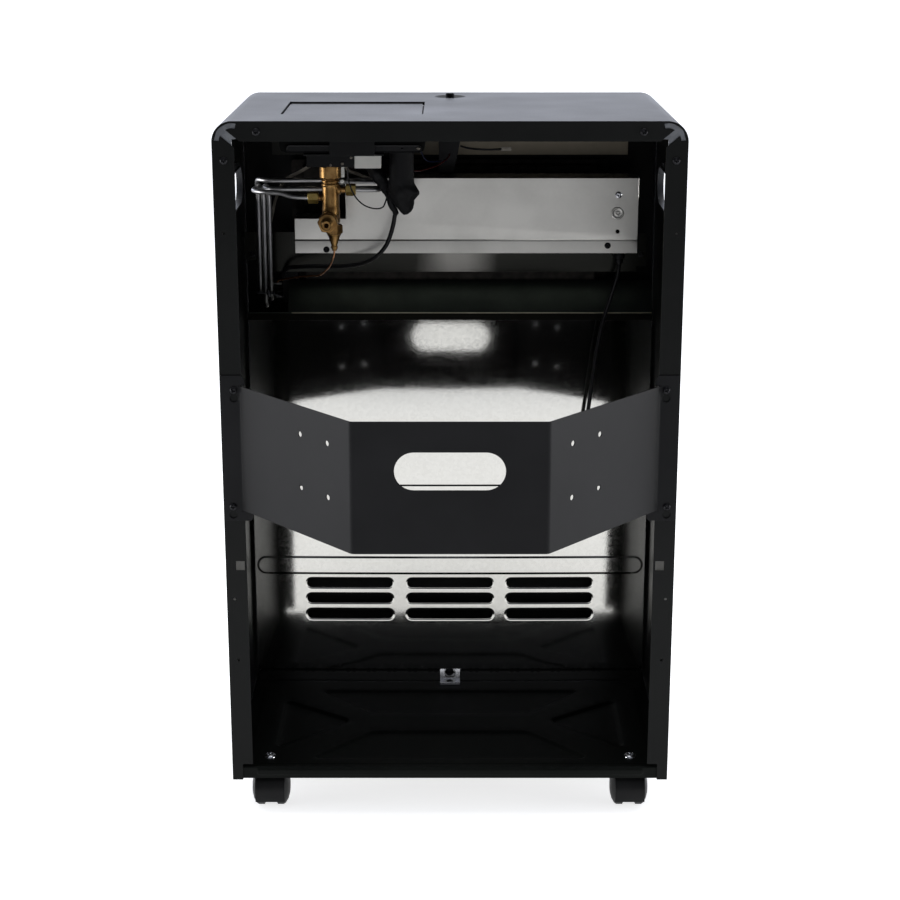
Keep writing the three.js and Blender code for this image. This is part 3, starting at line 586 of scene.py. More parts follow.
def box_bm(bm, x0, x1, t0, t1, z0, z1):
    a, b = P(x0, t1, z0), P(x1, t0, z1)
    v = [bm.verts.new((x, y, z)) for x in (a.x, b.x) for y in (a.y, b.y) for z in (a.z, b.z)]
    for f in ((0, 1, 3, 2), (4, 6, 7, 5), (0, 4, 5, 1), (2, 3, 7, 6), (0, 2, 6, 4), (1, 5, 7, 3)):
        bm.faces.new([v[i] for i in f])
    return bm


def block(name, dims, mat, width=0.4, segs=3, body="cabinet", nodes=()):
    bm = bmesh.new()
    box_bm(bm, *dims)
    outward(bm)
    bevelled(bm, width, segs)
    return finish_piece(from_bm(bm, name), mat, body, nodes)


def prism_bm(bm, pts, lo, hi, plane):
    """plane maps (a, b, depth) to a point in metres."""
    bot = [bm.verts.new(plane(a, b, lo)) for a, b in pts]
    top = [bm.verts.new(plane(a, b, hi)) for a, b in pts]
    k = len(pts)
    bm.faces.new(bot); bm.faces.new(top[::-1])
    for i in range(k):
        j = (i + 1) % k
        bm.faces.new((bot[i], top[i], top[j], bot[j]))
    return bm


PT = lambda a, b, d: P(a, d, b)      # outline in (x, z), depth t
PZ = lambda a, b, d: P(a, b, d)      # outline in (x, t), depth z
PX = lambda a, b, d: P(d, a, b)      # outline in (t, z), depth x


def circ(cx, cy, r, n=24, a0=0.0):
    return [(cx + r * math.cos(a0 + 2 * pi * i / n), cy + r * math.sin(a0 + 2 * pi * i / n)) for i in range(n)]


def obround(cx, cy, length, wid, n=12):
    r, h, out = wid / 2, length / 2 - wid / 2, []
    for i in range(n + 1):
        a = -pi / 2 + pi * i / n
        out.append((cx + h + r * math.cos(a), cy + r * math.sin(a)))
    for i in range(n + 1):
        a = pi / 2 + pi * i / n
        out.append((cx - h + r * math.cos(a), cy + r * math.sin(a)))
    return out


def round_rect(x0, x1, y0, y1, r, n=6):
    out = []
    for cx, cy, a0 in ((x1 - r, y1 - r, 0), (x0 + r, y1 - r, pi / 2), (x0 + r, y0 + r, pi), (x1 - r, y0 + r, 1.5 * pi)):
        for i in range(n + 1):
            a = a0 + pi / 2 * i / n
            out.append((cx + r * math.cos(a), cy + r * math.sin(a)))
    return out


def inside(pt, poly):
    x, y = pt
    c = False
    for i in range(len(poly)):
        x1, y1 = poly[i]
        x2, y2 = poly[i - 1]
        if (y1 > y) != (y2 > y) and x < (x2 - x1) * (y - y1) / (y2 - y1) + x1:
            c = not c
    return c


def dist_to(pt, poly):
    """Distance from a point to a closed outline."""
    p = np.array(pt, float)
    a = np.array(poly, float)
    b = np.roll(a, -1, axis=0)
    ab = b - a
    t = np.clip(((p - a) * ab).sum(1) / np.maximum((ab * ab).sum(1), 1e-12), 0, 1)
    return float(np.min(np.linalg.norm(a + ab * t[:, None] - p, axis=1)))


def inside_many(pts, poly):
    x, y = pts[:, 0], pts[:, 1]
    c = np.zeros(len(pts), bool)
    p = np.array(poly, float)
    for (x1, y1), (x2, y2) in zip(p, np.roll(p, 1, axis=0)):
        if y1 != y2:
            c ^= ((y1 > y) != (y2 > y)) & (x < (x2 - x1) * (y - y1) / (y2 - y1) + x1)
    return c


def dist_many(pts, poly):
    d = np.full(len(pts), 1e9)
    p = np.array(poly, float)
    for a, b in zip(p, np.roll(p, -1, axis=0)):
        ab = b - a
        t = np.clip(((pts - a) @ ab) / max(ab @ ab, 1e-12), 0, 1)
        d = np.minimum(d, np.linalg.norm(a + t[:, None] * ab - pts, axis=1))
    return d


def one_by_one(fn):
    """Turns a mapping of single points into one of arrays."""
    def many(u, v):
        r = [fn(a, b) for a, b in zip(u, v)]
        return np.array([tuple(q[0]) for q in r]), np.array([tuple(q[1]) for q in r])
    return many


def sstep(a, b, x):
    t = np.clip((x - a) / (b - a), 0, 1)
    return t * t * (3 - 2 * t)


def sheet(name, outline, holes, mapping, thick, grid=None, keep=0.9):
    """A folded or pressed sheet. The outline and holes are in flat millimetres (u, v);
    mapping(us, vs) gives the points in metres and the unit normals of the seen side; thick (mm) goes to the other side.
    grid is a list of extra (u, v) points that carry the shape between the edges."""
    verts, edges = [], []
    for loop in [outline, *holes]:
        s = len(verts)
        verts += [Vector(p) for p in loop]
        edges += [(s + i, s + (i + 1) % len(loop)) for i in range(len(loop))]
    if grid is not None and len(grid):
        g = np.array(grid, float)
        ok = inside_many(g, outline) & (dist_many(g, outline) > keep)
        for l in holes:
            ok &= ~inside_many(g, l) & (dist_many(g, l) > keep)
        verts += [Vector(p) for p in g[ok]]
    cv, ce, cf, ov, oe, of_ = delaunay_2d_cdt(verts, edges, [], 1, 1e-6)
    flat = np.array([[v.x, v.y] for v in cv])
    mid = np.array([flat[list(f)].mean(axis=0) for f in cf])
    ok = inside_many(mid, outline)
    for h in holes:
        ok &= ~inside_many(mid, h)
    tri = [list(f) for f, k in zip(cf, ok) if k]
    used = sorted({i for f in tri for i in f})
    new = {i: k for k, i in enumerate(used)}
    n = len(used)
    pts, nrm = mapping(flat[used, 0], flat[used, 1])
    low = pts - nrm * (thick / 1000)
    faces = [tuple(new[i] for i in f) for f in tri]
    count = set()
    for f in faces:
        for k in range(len(f)):
            count.add((f[k], f[(k + 1) % len(f)]))
    side = [e for e in sorted(count) if (e[1], e[0]) not in count]
    out = list(faces) + [tuple(i + n for i in f[::-1]) for f in faces]
    out += [(b, a, a + n, b + n) for a, b in side]
    bm = bmesh.new()
    vs = [bm.verts.new(p) for p in np.vstack([pts, low])]
    for f in out:
        bm.faces.new([vs[i] for i in f])
    outward(bm)
    return bm


def grid_points(u0, u1, v0, v1, du, dv):
    nu, nv = max(1, round((u1 - u0) / du)), max(1, round((v1 - v0) / dv))
    return [(u0 + (u1 - u0) * i / nu, v0 + (v1 - v0) * j / nv) for i in range(nu + 1) for j in range(nv + 1)]


def smoothstep(a, b, x):
    t = min(1.0, max(0.0, (x - a) / (b - a)))
    return t * t * (3 - 2 * t)


# ------------------------------------------------------------------ cords
LEAD = [(-184, 205, 555.6), (-183.2, 205.4, 545), (-179.5, 208, 530), (-175, 211, 513), (-170.2, 213, 496), (-166.6, 213.5, 480),
        (-164, 213.5, 464), (-161.5, 213, 450), (-160, 212.5, 436), (-157.5, 211.5, 417), (-155, 210.5, 398), (-152.5, 209, 378),
        (-150.5, 208, 360), (-149.3, 209.5, 345.5), (-149, 215.5, 333.5), (-149, 222.5, 328.8), (-149, 227.6, 328)]
IGN = [(55.8, 128, 625.4), (57.6, 130, 619.5), (58.9, 134, 612), (62, 140, 600), (68, 147, 585), (79, 155, 572), (93, 163, 564),
       (110, 172, 559.5), (130, 182, 557), (150, 191, 555.5), (168, 200, 553), (178, 209, 550), (183.2, 220, 542), (184.6, 234, 537), (185, 250, 536)]


def cord_curve(name, pts, dia, mat):
    path = smooth_path([P(*p) for p in pts], 0.004)
    c = bpy.data.curves.new(name, "CURVE")
    c.dimensions = "3D"
    s = c.splines.new("POLY")
    s.points.add(len(path) - 1)
    for q, p in zip(s.points, path):
        q.co = (*p, 1)
    c.bevel_depth = dia / 2000
    c.bevel_resolution = 5
    c.use_fill_caps = True
    o = bpy.data.objects.new(name, c)
    bpy.context.scene.collection.objects.link(o)
    length = sum((b - a).length for a, b in zip(path, path[1:]))
    return o, length


lead, lead_len = cord_curve("supply_lead_v", LEAD, 4.5, "lead_black")
finish_piece(lead, "lead_black", "cabinet", "supply_lead")
ign, ign_len = cord_curve("igniter_lead_v", IGN, 4.6, "lead_black")
finish_piece(ign, "lead_black", "cabinet", "igniter_lead")
print("CORDS", round(lead_len, 4), round(ign_len, 4))

# ------------------------------------------------------------------ stage and light
bpy.ops.mesh.primitive_plane_add(size=80, location=(0, 0, 0))
floor = bpy.context.object
floor.name = "floor"
fm = Mat("floor_pale")
ray = fm.n("ShaderNodeLightPath").outputs["Is Camera Ray"]
spread = fm.math("DIVIDE", fm.math("ABSOLUTE", fm.axis(0)), fm.math("MAXIMUM", fm.axis(1), 0.5))
edge = fm.math("MULTIPLY", fm.range(fm.axis(1), 1.9, 2.5), fm.range(spread, 0.05, 0.13, 0.0, 1.0))
# painted shade on the floor, seen only in reflections and bounce light: darker from 1.8 m to 4.2 m behind the object,
# darker still outside a narrow wedge further back
tone = fm.mix(fm.range(fm.axis(1), 1.8, 4.2), (0.80, 0.80, 0.80), (0.50, 0.50, 0.50))
tone = fm.mix(edge, tone, (0.22, 0.22, 0.22))
fm.color(fm.mix(ray, tone, (0.80, 0.80, 0.80)))
fm.set(rough=0.8, spec=0.2)
near = fm.range(fm.axis(1), 1.5, 3.4, 0.36, 0.0)          # painted glow: for rays other than camera rays the floor emits light, brightest close behind the object
near = fm.math("MULTIPLY", near, fm.range(fm.math("ABSOLUTE", fm.axis(0)), 0.55, 1.5, 1.0, 0.12))
# painted glow along a narrow wedge 2.1-2.7 m behind the object
path_ = fm.math("MULTIPLY", fm.range(fm.axis(1), 2.1, 2.7, 0.0, 0.62), fm.range(spread, 0.034, 0.060, 1.0, 0.0))
near = fm.math("ADD", near, path_)
glow = fm.n("ShaderNodeMix", data_type="FLOAT")
fm.link(ray, glow.inputs[0])
fm.link(near, glow.inputs[2])
glow.inputs[3].default_value = 0.75
fm.b.inputs["Emission Color"].default_value = (1, 1, 1, 1)
fm.link(glow.outputs[0], fm.b.inputs["Emission Strength"])
floor.data.materials.append(fm.m)

world = bpy.data.worlds.new("studio")
bpy.context.scene.world = world
world.use_nodes = True
wt = world.node_tree
wt.nodes.clear()
wo = wt.nodes.new("ShaderNodeOutputWorld")
wb = wt.nodes.new("ShaderNodeBackground")
wc = wt.nodes.new("ShaderNodeTexCoord")
ws = wt.nodes.new("ShaderNodeSeparateXYZ")
wt.links.new(wc.outputs["Generated"], ws.inputs[0])
wr = wt.nodes.new("ShaderNodeMapRange")        # bright in front of the object, dim behind the camera
wr.interpolation_type = "SMOOTHSTEP"
for i, v in ((1, -0.95), (2, 0.55), (3, 1.80), (4, 0.08)):
    wr.inputs[i].default_value = v
wt.links.new(ws.outputs[1], wr.inputs[0])
wz = wt.nodes.new("ShaderNodeMapRange")
for i, v in ((1, 0.25), (2, 0.95), (3, 0.0), (4, 1.0)):
    wz.inputs[i].default_value = v
wt.links.new(ws.outputs[2], wz.inputs[0])
wm = wt.nodes.new("ShaderNodeMix")
wm.data_type = "FLOAT"
wt.links.new(wz.outputs[0], wm.inputs[0])
wt.links.new(wr.outputs[0], wm.inputs[2])
wm.inputs[3].default_value = 0.40
lp = wt.nodes.new("ShaderNodeLightPath")
wx = wt.nodes.new("ShaderNodeMix")
wx.data_type = "FLOAT"
wt.links.new(lp.outputs["Is Camera Ray"], wx.inputs[0])
wt.links.new(wm.outputs[0], wx.inputs[2])
wx.inputs[3].default_value = 1.0
wt.links.new(wx.outputs[0], wb.inputs["Strength"])
wcol = wt.nodes.new("ShaderNodeMix")
wcol.data_type = "RGBA"
wt.links.new(lp.outputs["Is Camera Ray"], wcol.inputs[0])
wcol.inputs[6].default_value = (0.94, 0.985, 1.12, 1)
wcol.inputs[7].default_value = (1, 1, 1, 1)
wt.links.new(wcol.outputs[2], wb.inputs["Color"])
wt.links.new(wb.outputs[0], wo.inputs[0])


def area(name, loc, target, size, power, size_y=None):
    l = bpy.data.lights.new(name, "AREA")
    l.shape = "RECTANGLE"
    l.size, l.size_y = size, size_y or size
    l.energy = power
    o = bpy.data.objects.new(name, l)
    bpy.context.scene.collection.objects.link(o)
    o.location = loc
    o.rotation_euler = (Vector(target) - Vector(loc)).to_track_quat("-Z", "Y").to_euler()
    o.visible_camera = False
    return o


area("softbox_top", (0, -0.7, 3.0), (0, 0, 0.3), 2.4, 60.0)
for s in (1, -1):
    area("softbox_side_" + ("right" if s > 0 else "left"), (s * 2.4, 0.35, 0.36), (0, 0.15, 0.38), 1.5, 25.0, 0.55)

# ------------------------------------------------------------------ pieces
done = {"supply_lead", "igniter_lead"}

# ------------------------------------------------------------------ screws
def phillips(name, origin, axis, r, h, mat, body="cabinet", nodes=(), spin=0.3, shank=None, wall=0.25, power=2.4, depth=0.36, n=56):
    """Pan head with a cross recess that stands on origin along axis; r and h in mm, shank = (radius, length) behind it."""
    ax = Vector(axis).normalized()
    u = ax.orthogonal().normalized()
    w = ax.cross(u)
    u, w = u * math.cos(spin) + w * math.sin(spin), w * math.cos(spin) - u * math.sin(spin)

    def arm(a, b):
        return (1 - smoothstep(0.75, 1.2, abs(a) / (0.155 * r))) * (1 - smoothstep(0.8, 1.1, abs(b) / (0.56 * r)))

    bm = bmesh.new()
    shares = [0.07 * i for i in range(1, 13)] + [0.90, 0.95, 0.985, 1.0]
    rings = [[bm.verts.new(Vector(origin) + ax * (h - depth * 2 * r * 0.6) / 1000)]]
    for q in shares:
        ring = []
        top = h * wall + h * (1 - wall) * (1 - q ** power) ** (1 / power)
        for j in range(n):
            a = 2 * pi * j / n
            x, y = r * q * math.cos(a), r * q * math.sin(a)
            d = depth * 2 * r * 0.6 * max(arm(x, y), arm(y, x)) * (1 - 0.55 * q)
            ring.append(bm.verts.new(Vector(origin) + (u * x + w * y + ax * (top - d)) / 1000))
        rings.append(ring)
    rings.append([bm.verts.new(Vector(origin) + (u * math.cos(2 * pi * j / n) + w * math.sin(2 * pi * j / n)) * r / 1000) for j in range(n)])
    if shank:
        for q, k in ((shank[0], 0.0), (shank[0], -shank[1] + 0.6), (shank[0] * 0.6, -shank[1])):
            rings.append([bm.verts.new(Vector(origin) + (u * math.cos(2 * pi * j / n) + w * math.sin(2 * pi * j / n)) * q / 1000 + ax * k / 1000) for j in range(n)])
    for j in range(n):
        bm.faces.new((rings[0][0], rings[1][j], rings[1][(j + 1) % n]))
    for a, b in zip(rings[1:], rings[2:]):
        for j in range(n):
            k = (j + 1) % n
            bm.faces.new((a[j], b[j], b[k], a[k]))
    bm.faces.new(rings[-1])
    outward(bm)
    return finish_piece(from_bm(bm, name), mat, body, nodes, sharp=50.0)


REAR = (0, 1, 0)
for i, (x, z) in enumerate(((186.7, 721.6), (218.7, 694), (-186.7, 721.6), (-218.7, 694))):
    phillips(f"corner_screw_{i + 1}", P(x, -0.02, z), REAR, 3.6, 2.0, "screw_black", spin=0.4 + i * 0.7)
for i, (tag, x, z) in enumerate((("upper_right", 216, 466), ("lower_right", 220, 344), ("upper_left", -216, 466), ("lower_left", -220, 344))):
    node = "restraint_screw_" + tag
    phillips(node + "_v", P(x, -1.8, z), REAR, 3.7, 2.0, "screw_black", BODY_OF[node], node, spin=0.2 + i * 0.5, shank=(1.8, 9.5))
    done.add(node)
phillips("box_screw_chrome", P(-180.8, 194.98, 632.2), REAR, 3.7, 1.9, "chrome_wire", spin=0.9)
phillips("box_screw_low_left", P(133.6, 194.98, 573.1), REAR, 3.4, 1.7, "screw_black", spin=0.2)
phillips("box_screw_low_right", P(-170.3, 194.98, 577.4), REAR, 3.4, 1.7, "screw_black", spin=0.7)
phillips("lug_screw_right", P(217.5, 232.98, 561.5), REAR, 3.3, 1.6, "screw_black", spin=0.5)
phillips("lug_screw_left", P(-210.6, 232.98, 561.1), REAR, 3.3, 1.6, "screw_black", spin=1.1)
for s in (1, -1):
    phillips(f"deck_bolt_{'right' if s > 0 else 'left'}", P(s * 192.6, 26, 54.42), (0, 0, 1), 6.6, 4.3, "chrome_wire", spin=0.35 * s, wall=0.12, power=2.0, depth=0.30, n=64)

# ------------------------------------------------------------------ bottle restraint: one bent sheet
GA = math.atan2(135.5, 116.6)                # turn at each bend
R1, R2 = 6.0, 3.0                            # bend radii of the seen side
T1, T2 = R1 * math.tan(GA / 2), R2 * math.tan(GA / 2)
SL = math.hypot(116.6, 135.5)
U = [0, 93.4 - T1, 0, 0, 0, 0]
U[2] = U[1] + R1 * GA
U[3] = U[2] + SL - T1 - T2
U[4] = U[3] + R2 * GA
U[5] = U[4] + 229.6 - 210 - T2


def guard_plan(u):
    """Seen side of the strip in plan: (x, t) and the unit normal towards the outside, for u >= 0."""
    if u <= U[1]:
        return (u, -137.0), (0.0, -1.0)
    if u <= U[2]:
        a = (u - U[1]) / R1
        return (93.4 - T1 + R1 * math.sin(a), -137 + R1 * (1 - math.cos(a))), (math.sin(a), -math.cos(a))
    d = (math.cos(GA), math.sin(GA))
    if u <= U[3]:
        k = u - U[2] + T1
        return (93.4 + d[0] * k, -137 + d[1] * k), (math.sin(GA), -math.cos(GA))
    if u <= U[4]:
        a = GA - (u - U[3]) / R2
        cx, ct = 210 + T2, -1.5 - R2                     # centre of the inward bend
        return (cx - R2 * math.sin(a), ct + R2 * math.cos(a)), (math.sin(a), -math.cos(a))
    return (210 + T2 + u - U[4], -1.5), (0.0, -1.0)


def guard_map(u, z):
    s, a = (1, u) if u >= 0 else (-1, -u)
    if z > 470.25 or z < 339.75:                         # tabs above and below the bend stay in the flange's plane
        x, t, nx_, nt = 210 + T2 + a - U[4], -1.5, 0.0, -1.0
    else:
        (x, t), (nx_, nt) = guard_plan(a)
    return P(s * x, t, z), Vector((s * nx_, -nt, 0)).normalized()


def guard_outline():
    cols = [U[1] + (U[2] - U[1]) * i / 10 for i in range(11)] + [U[3] + (U[4] - U[3]) * i / 6 for i in range(7)]
    half_top = [(u, 470.0) for u in cols]
    tab_top = [(U[4], 470.0), (U[4], 470.5), (U[4] - 6.5, 470.5), (U[4] - 6.5, 474.3), (U[4] - 4.0, 481.0), (U[5] - 1.0, 481.0), (U[5], 480.0)]
    tab_low = [(U[5], 330.0), (U[5] - 1.0, 329.0), (U[4] - 9.0, 329.0), (U[4] - 11.0, 331.0), (U[4] - 11.0, 339.5), (U[4], 339.5), (U[4], 340.0)]
    half_low = [(u, 340.0) for u in cols][::-1]
    right = half_top[:-1] + tab_top + tab_low + half_low[1:]
    left = [(-u, z) for u, z in right[::-1]]
    out = []
    for p in right + left:
        if not out or abs(out[-1][0] - p[0]) + abs(out[-1][1] - p[1]) > 1e-6:
            out.append(p)
    return out, cols


g_out, g_cols = guard_outline()
g_holes = [obround(0, 421.7, 105, 37, 20)]
for s in (1, -1):
    for share in (0.56, 0.80):
        uu = s * (U[2] + SL * (1 - share) - T1)
        for z in (441.5, 387.8):
            g_holes.append(circ(uu, z, 2.75, 24))
    for x, z in ((216, 466), (220, 344)):
        uu = s * (U[4] + x - 210 - T2)
        c = []
        a0 = math.asin(2.4 / 4.2)
        for i in range(19):
            a = pi / 2 + a0 + (2 * pi - 2 * a0) * i / 18
            c.append((uu + 4.2 * math.cos(a), z - 8.3 + 4.2 * math.sin(a)))
        for i in range(9):
            a = pi * i / 8
            c.append((uu + 2.4 * math.cos(a), z + 2.4 * math.sin(a)))
        g_holes.append(c)
g_grid = []
for u in g_cols:
    for k in range(1, 26):
        g_grid += [(u, 340 + 130 * k / 26), (-u, 340 + 130 * k / 26)]
g_grid += grid_points(-80, 80, 345, 465, 16, 15)
for s in (1, -1):
    g_grid += [(s * p[0], p[1]) for p in grid_points(U[2] + 8, U[3] - 8, 345, 465, 14, 15)]
bm = sheet("guard", g_out, g_holes, one_by_one(guard_map), 1.2, g_grid, keep=1.2)
bevelled(bm, 0.22, 2, 60)
finish_piece(from_bm(bm, "bottle_restraint_v"), "black_guard", BODY_OF["bottle_restraint"], "bottle_restraint", sharp=40.0)
done.add("bottle_restraint")

# ------------------------------------------------------------------ inner front panel: bowed zinc sheet with a bead and slots
Z_TAB = np.arange(54.7, 488.0, 1.0)
tilt = 2.75 * sstep(352, 446, Z_TAB) - 0.30 * (1 - sstep(150, 330, Z_TAB)) + 0.85 * (1 - sstep(118, 172, Z_TAB))
LEAN = 231.2 + np.concatenate([[0.0], np.cumsum(np.tan(np.radians(tilt)))[:-1]])
BEAD = (0.0, 198.6, 445.6, 22.2)
p_slots = [(x, z, 99.2 if x == 0 else 99.5) for z in (176.5, 157.5, 138.3) for x in (115.85, 0, -114.8)]


def ob_depth(x, z, ob):
    """How far inside an obround's outline points are."""
    cx, cz, ln, wd = ob
    r = wd / 2
    return r - np.hypot(np.maximum(np.abs(x - cx) - (ln / 2 - r), 0), z - cz)


def slot_near(x, z):
    d = np.full(np.shape(x), 99.0)
    for cx, cz, ln in p_slots:
        d = np.minimum(d, -ob_depth(x, z, (cx, cz, ln, 11)))
    return d


def panel_t(x, z):
    t = np.interp(z, Z_TAB, LEAN)
    t = t - 1.0 * sstep(0.0, 2.6, ob_depth(x, z, BEAD))
    t = t + 0.4 * (1 - sstep(0.0, 2.0, slot_near(x, z)))
    t = t + 1.0 * (1 - sstep(67.5, 70.5, z))
    t = t + 4.6e-5 * x * x
    return t + 0.10 * np.sin(x * 0.021 + 0.7) * np.sin(z * 0.017)


def array_point(x, t, z):
    return np.stack([x / 1000, (YR - t) / 1000, z / 1000], axis=1)


def panel_map(x, z):
    e = 0.4
    n_ = np.stack([(panel_t(x + e, z) - panel_t(x - e, z)) / (2 * e), np.ones_like(x), (panel_t(x, z + e) - panel_t(x, z - e)) / (2 * e)], axis=1)
    return array_point(x, panel_t(x, z), z), n_ / np.linalg.norm(n_, axis=1)[:, None]


p_holes = [obround(x, z, ln, 11, 12) for x, z, ln in p_slots] + [circ(-149, 328, 5.2, 28)]
p_grid = grid_points(-224, 224, 58, 486, 8.0, 7.0)
p_grid = [p for p in p_grid if not (-1.5 < ob_depth(p[0], p[1], BEAD) < 4.5) and slot_near(p[0], p[1]) > 3.6 and abs(p[1] - 69) > 3]
for q in (-0.4, 0.0, 0.6, 1.3, 2.0, 2.6, 3.2):
    o = obround(BEAD[0], BEAD[1], BEAD[2] - 2 * q, BEAD[3] - 2 * q, 14)
    for a, b in zip(o, o[1:] + o[:1]):
        k = max(1, int(math.dist(a, b) / 4.0))
        p_grid += [(a[0] + (b[0] - a[0]) * i / k, a[1] + (b[1] - a[1]) * i / k) for i in range(k)]
for x, z, ln in p_slots:
    for q in (0.6, 1.2, 2.0, 2.8):
        o = obround(x, z, ln + 2 * q, 11 + 2 * q, 12)
        for a, b in zip(o, o[1:] + o[:1]):
            k = max(1, int(math.dist(a, b) / 4.0))
            p_grid += [(a[0] + (b[0] - a[0]) * i / k, a[1] + (b[1] - a[1]) * i / k) for i in range(k)]
p_grid += [(x, z) for z in (66.8, 67.6, 68.4, 69.2, 70.0, 70.8) for x in range(-220, 221, 6)]
p_out = [(-224.6, 54.7), (224.6, 54.7), (224.6, 487), (-224.6, 487)]
p_out = [(a[0] + (b[0] - a[0]) * i / 40, a[1] + (b[1] - a[1]) * i / 40) for a, b in zip(p_out, p_out[1:] + p_out[:1]) for i in range(40)]
bm = sheet("panel", p_out, p_holes, panel_map, 0.9, p_grid, keep=0.5)
finish_piece(from_bm(bm, "inner_front_panel_v"), "galvanised_panel", "cabinet", "inner_front_panel", sharp=55.0, weighted=False)
done.add("inner_front_panel")
# painted shadow: a thin black strip along the panel stands for the dark gap of a lap seam behind the hand slot
bm = bmesh.new()
rows = []
for x in range(-204, 205, 12):
    tt = float(panel_t(np.array([float(x)]), np.array([295.2]))[0])
    rows.append([bm.verts.new(P(x, t, z)) for t, z in ((tt - 0.75, 294.3), (tt - 0.75, 296.0), (tt + 0.4, 296.2), (tt + 0.4, 294.1))])
for a, b in zip(rows, rows[1:]):
    for j in range(4):
        bm.faces.new((a[j], a[(j + 1) % 4], b[(j + 1) % 4], b[j]))
bm.faces.new(rows[0]); bm.faces.new(rows[-1])
outward(bm)
finish_piece(from_bm(bm, "panel_seam_shadow"), "black_bracket", "cabinet", (), weighted=False)

# ------------------------------------------------------------------ base plate: pressed deck with turned-down lips
DR = 1.9                                        # outer radius of the folds
DX, DT0, DT1 = 228.4, 1.4, 278.6


def poly_depth(x, y, poly):
    pts = np.stack([np.ravel(x), np.ravel(y)], axis=1).astype(float)
    d = dist_many(pts, poly)
    return np.where(inside_many(pts, poly), d, -d)


def rounded(poly, r, n=5):
    out = []
    for i in range(len(poly)):
        a, b, c = (np.array(poly[(i + k) % len(poly)], float) for k in (-1, 0, 1))
        d = min(r, np.linalg.norm(a - b) * 0.4, np.linalg.norm(c - b) * 0.4)
        p, q = b + (a - b) / np.linalg.norm(a - b) * d, b + (c - b) / np.linalg.norm(c - b) * d
        for k in range(n + 1):
            t = k / n
            out.append(tuple((1 - t) ** 2 * p + 2 * t * (1 - t) * b + t * t * q))
    return out


def densify(poly, step):
    out = []
    for a, b in zip(poly, poly[1:] + poly[:1]):
        k = max(1, int(math.dist(a, b) / step))
        out += [(a[0] + (b[0] - a[0]) * i / k, a[1] + (b[1] - a[1]) * i / k) for i in range(k)]
    return out


PADS = [rounded([(-149, 203), (149, 203), (87, 140.5), (-87, 140.5)], 10),
        rounded([(-85, 90.4), (85, 90.4), (147, 22.7), (-147, 22.7)], 10),
        rounded([(187, 50), (187, 175), (110.7, 120)], 10),
        rounded([(-187, 50), (-187, 175), (-110.7, 120)], 10)]
PLAT = [(-215, 8), (215, 8)] + [(193 + 22 * math.cos(pi / 2 * i / 8), 209 + 22 * math.sin(pi / 2 * i / 8)) for i in range(9)] \
    + [(-193 + 22 * math.cos(pi / 2 + pi / 2 * i / 8), 209 + 22 * math.sin(pi / 2 + pi / 2 * i / 8)) for i in range(9)]


def deck_z(x, t):
    z = 54.4 + 0.55 * sstep(-1.2, 1.2, poly_depth(x, t, PLAT))
    for p in PADS:
        z = z - 2.4 * sstep(-3.0, 3.0, poly_depth(x, t, p))
    return z


LIP = (0.0, 48.1, 411.0, 8.2)


def deck_map(u, v):
    ex, er, ef, arc = DX - DR, DT0 + DR, DT1 - DR, DR * pi / 2
    e = 0.5
    z = deck_z(u, v)
    pts = array_point(u, v, z)
    nn = np.stack([-(deck_z(u + e, v) - deck_z(u - e, v)) / (2 * e), (deck_z(u, v + e) - deck_z(u, v - e)) / (2 * e), np.ones_like(u)], axis=1)
    nn /= np.linalg.norm(nn, axis=1)[:, None]
    for i in range(len(u)):
        a_, v_ = abs(u[i]), v[i]
        if a_ > ex:                                      # side lips
            s = 1 if u[i] > 0 else -1
            k = a_ - ex
            if k < arc:
                a = k / DR
                pts[i] = P(s * (ex + DR * math.sin(a)), v_, 54.4 - DR + DR * math.cos(a))
                nn[i] = (s * math.sin(a), 0, math.cos(a))
            else:
                pts[i] = P(s * DX, v_, 54.4 - DR - (k - arc))
                nn[i] = (s, 0, 0)
        elif v_ < er or v_ > ef:                         # rear and front lips
            s = -1 if v_ < er else 1
            k = er - v_ if v_ < er else v_ - ef
            edge = er if v_ < er else ef
            if k < arc:
                a = k / DR
                pts[i] = P(u[i], edge + s * DR * math.sin(a), 54.4 - DR + DR * math.cos(a))
                nn[i] = (0, -s * math.sin(a), math.cos(a))
            else:
                z_, t_ = 54.4 - DR - (k - arc), edge + s * DR
                if s < 0:
                    t_ -= 0.85 * float(sstep(0.0, 2.0, ob_depth(u[i], z_, LIP)))
                pts[i] = P(u[i], t_, z_)
                nn[i] = (0, -s, 0)
    return pts, nn


arc = DR * pi / 2
er, ef, ex = DT0 + DR, DT1 - DR, DX - DR
v0 = er - arc - (54.4 - DR - 41.2)
v1 = ef + arc + (54.4 - DR - 45.0)
u1 = ex + arc + (54.4 - DR - 45.0)
d_out = [(-ex + 0.4, v0), (ex - 0.4, v0), (ex - 0.4, er), (ex, er), (ex, er + 0.4), (u1, er + 0.4), (u1, ef - 0.4), (ex, ef - 0.4), (ex, ef), (ex - 0.4, ef),
         (ex - 0.4, v1), (-ex + 0.4, v1), (-ex + 0.4, ef), (-ex, ef), (-ex, ef - 0.4), (-u1, ef - 0.4), (-u1, er + 0.4), (-ex, er + 0.4), (-ex, er), (-ex + 0.4, er)]
d_out = densify(d_out, 9.0)
d_grid = grid_points(-ex + 4, ex - 4, er + 4, ef - 4, 12, 12)
d_arr = np.array(d_grid)
d_ok = np.abs(poly_depth(d_arr[:, 0], d_arr[:, 1], PLAT)) > 3
for q in PADS:
    d_ok &= np.abs(poly_depth(d_arr[:, 0], d_arr[:, 1], q)) > 5.5
d_grid = [tuple(p) for p in d_arr[d_ok]]


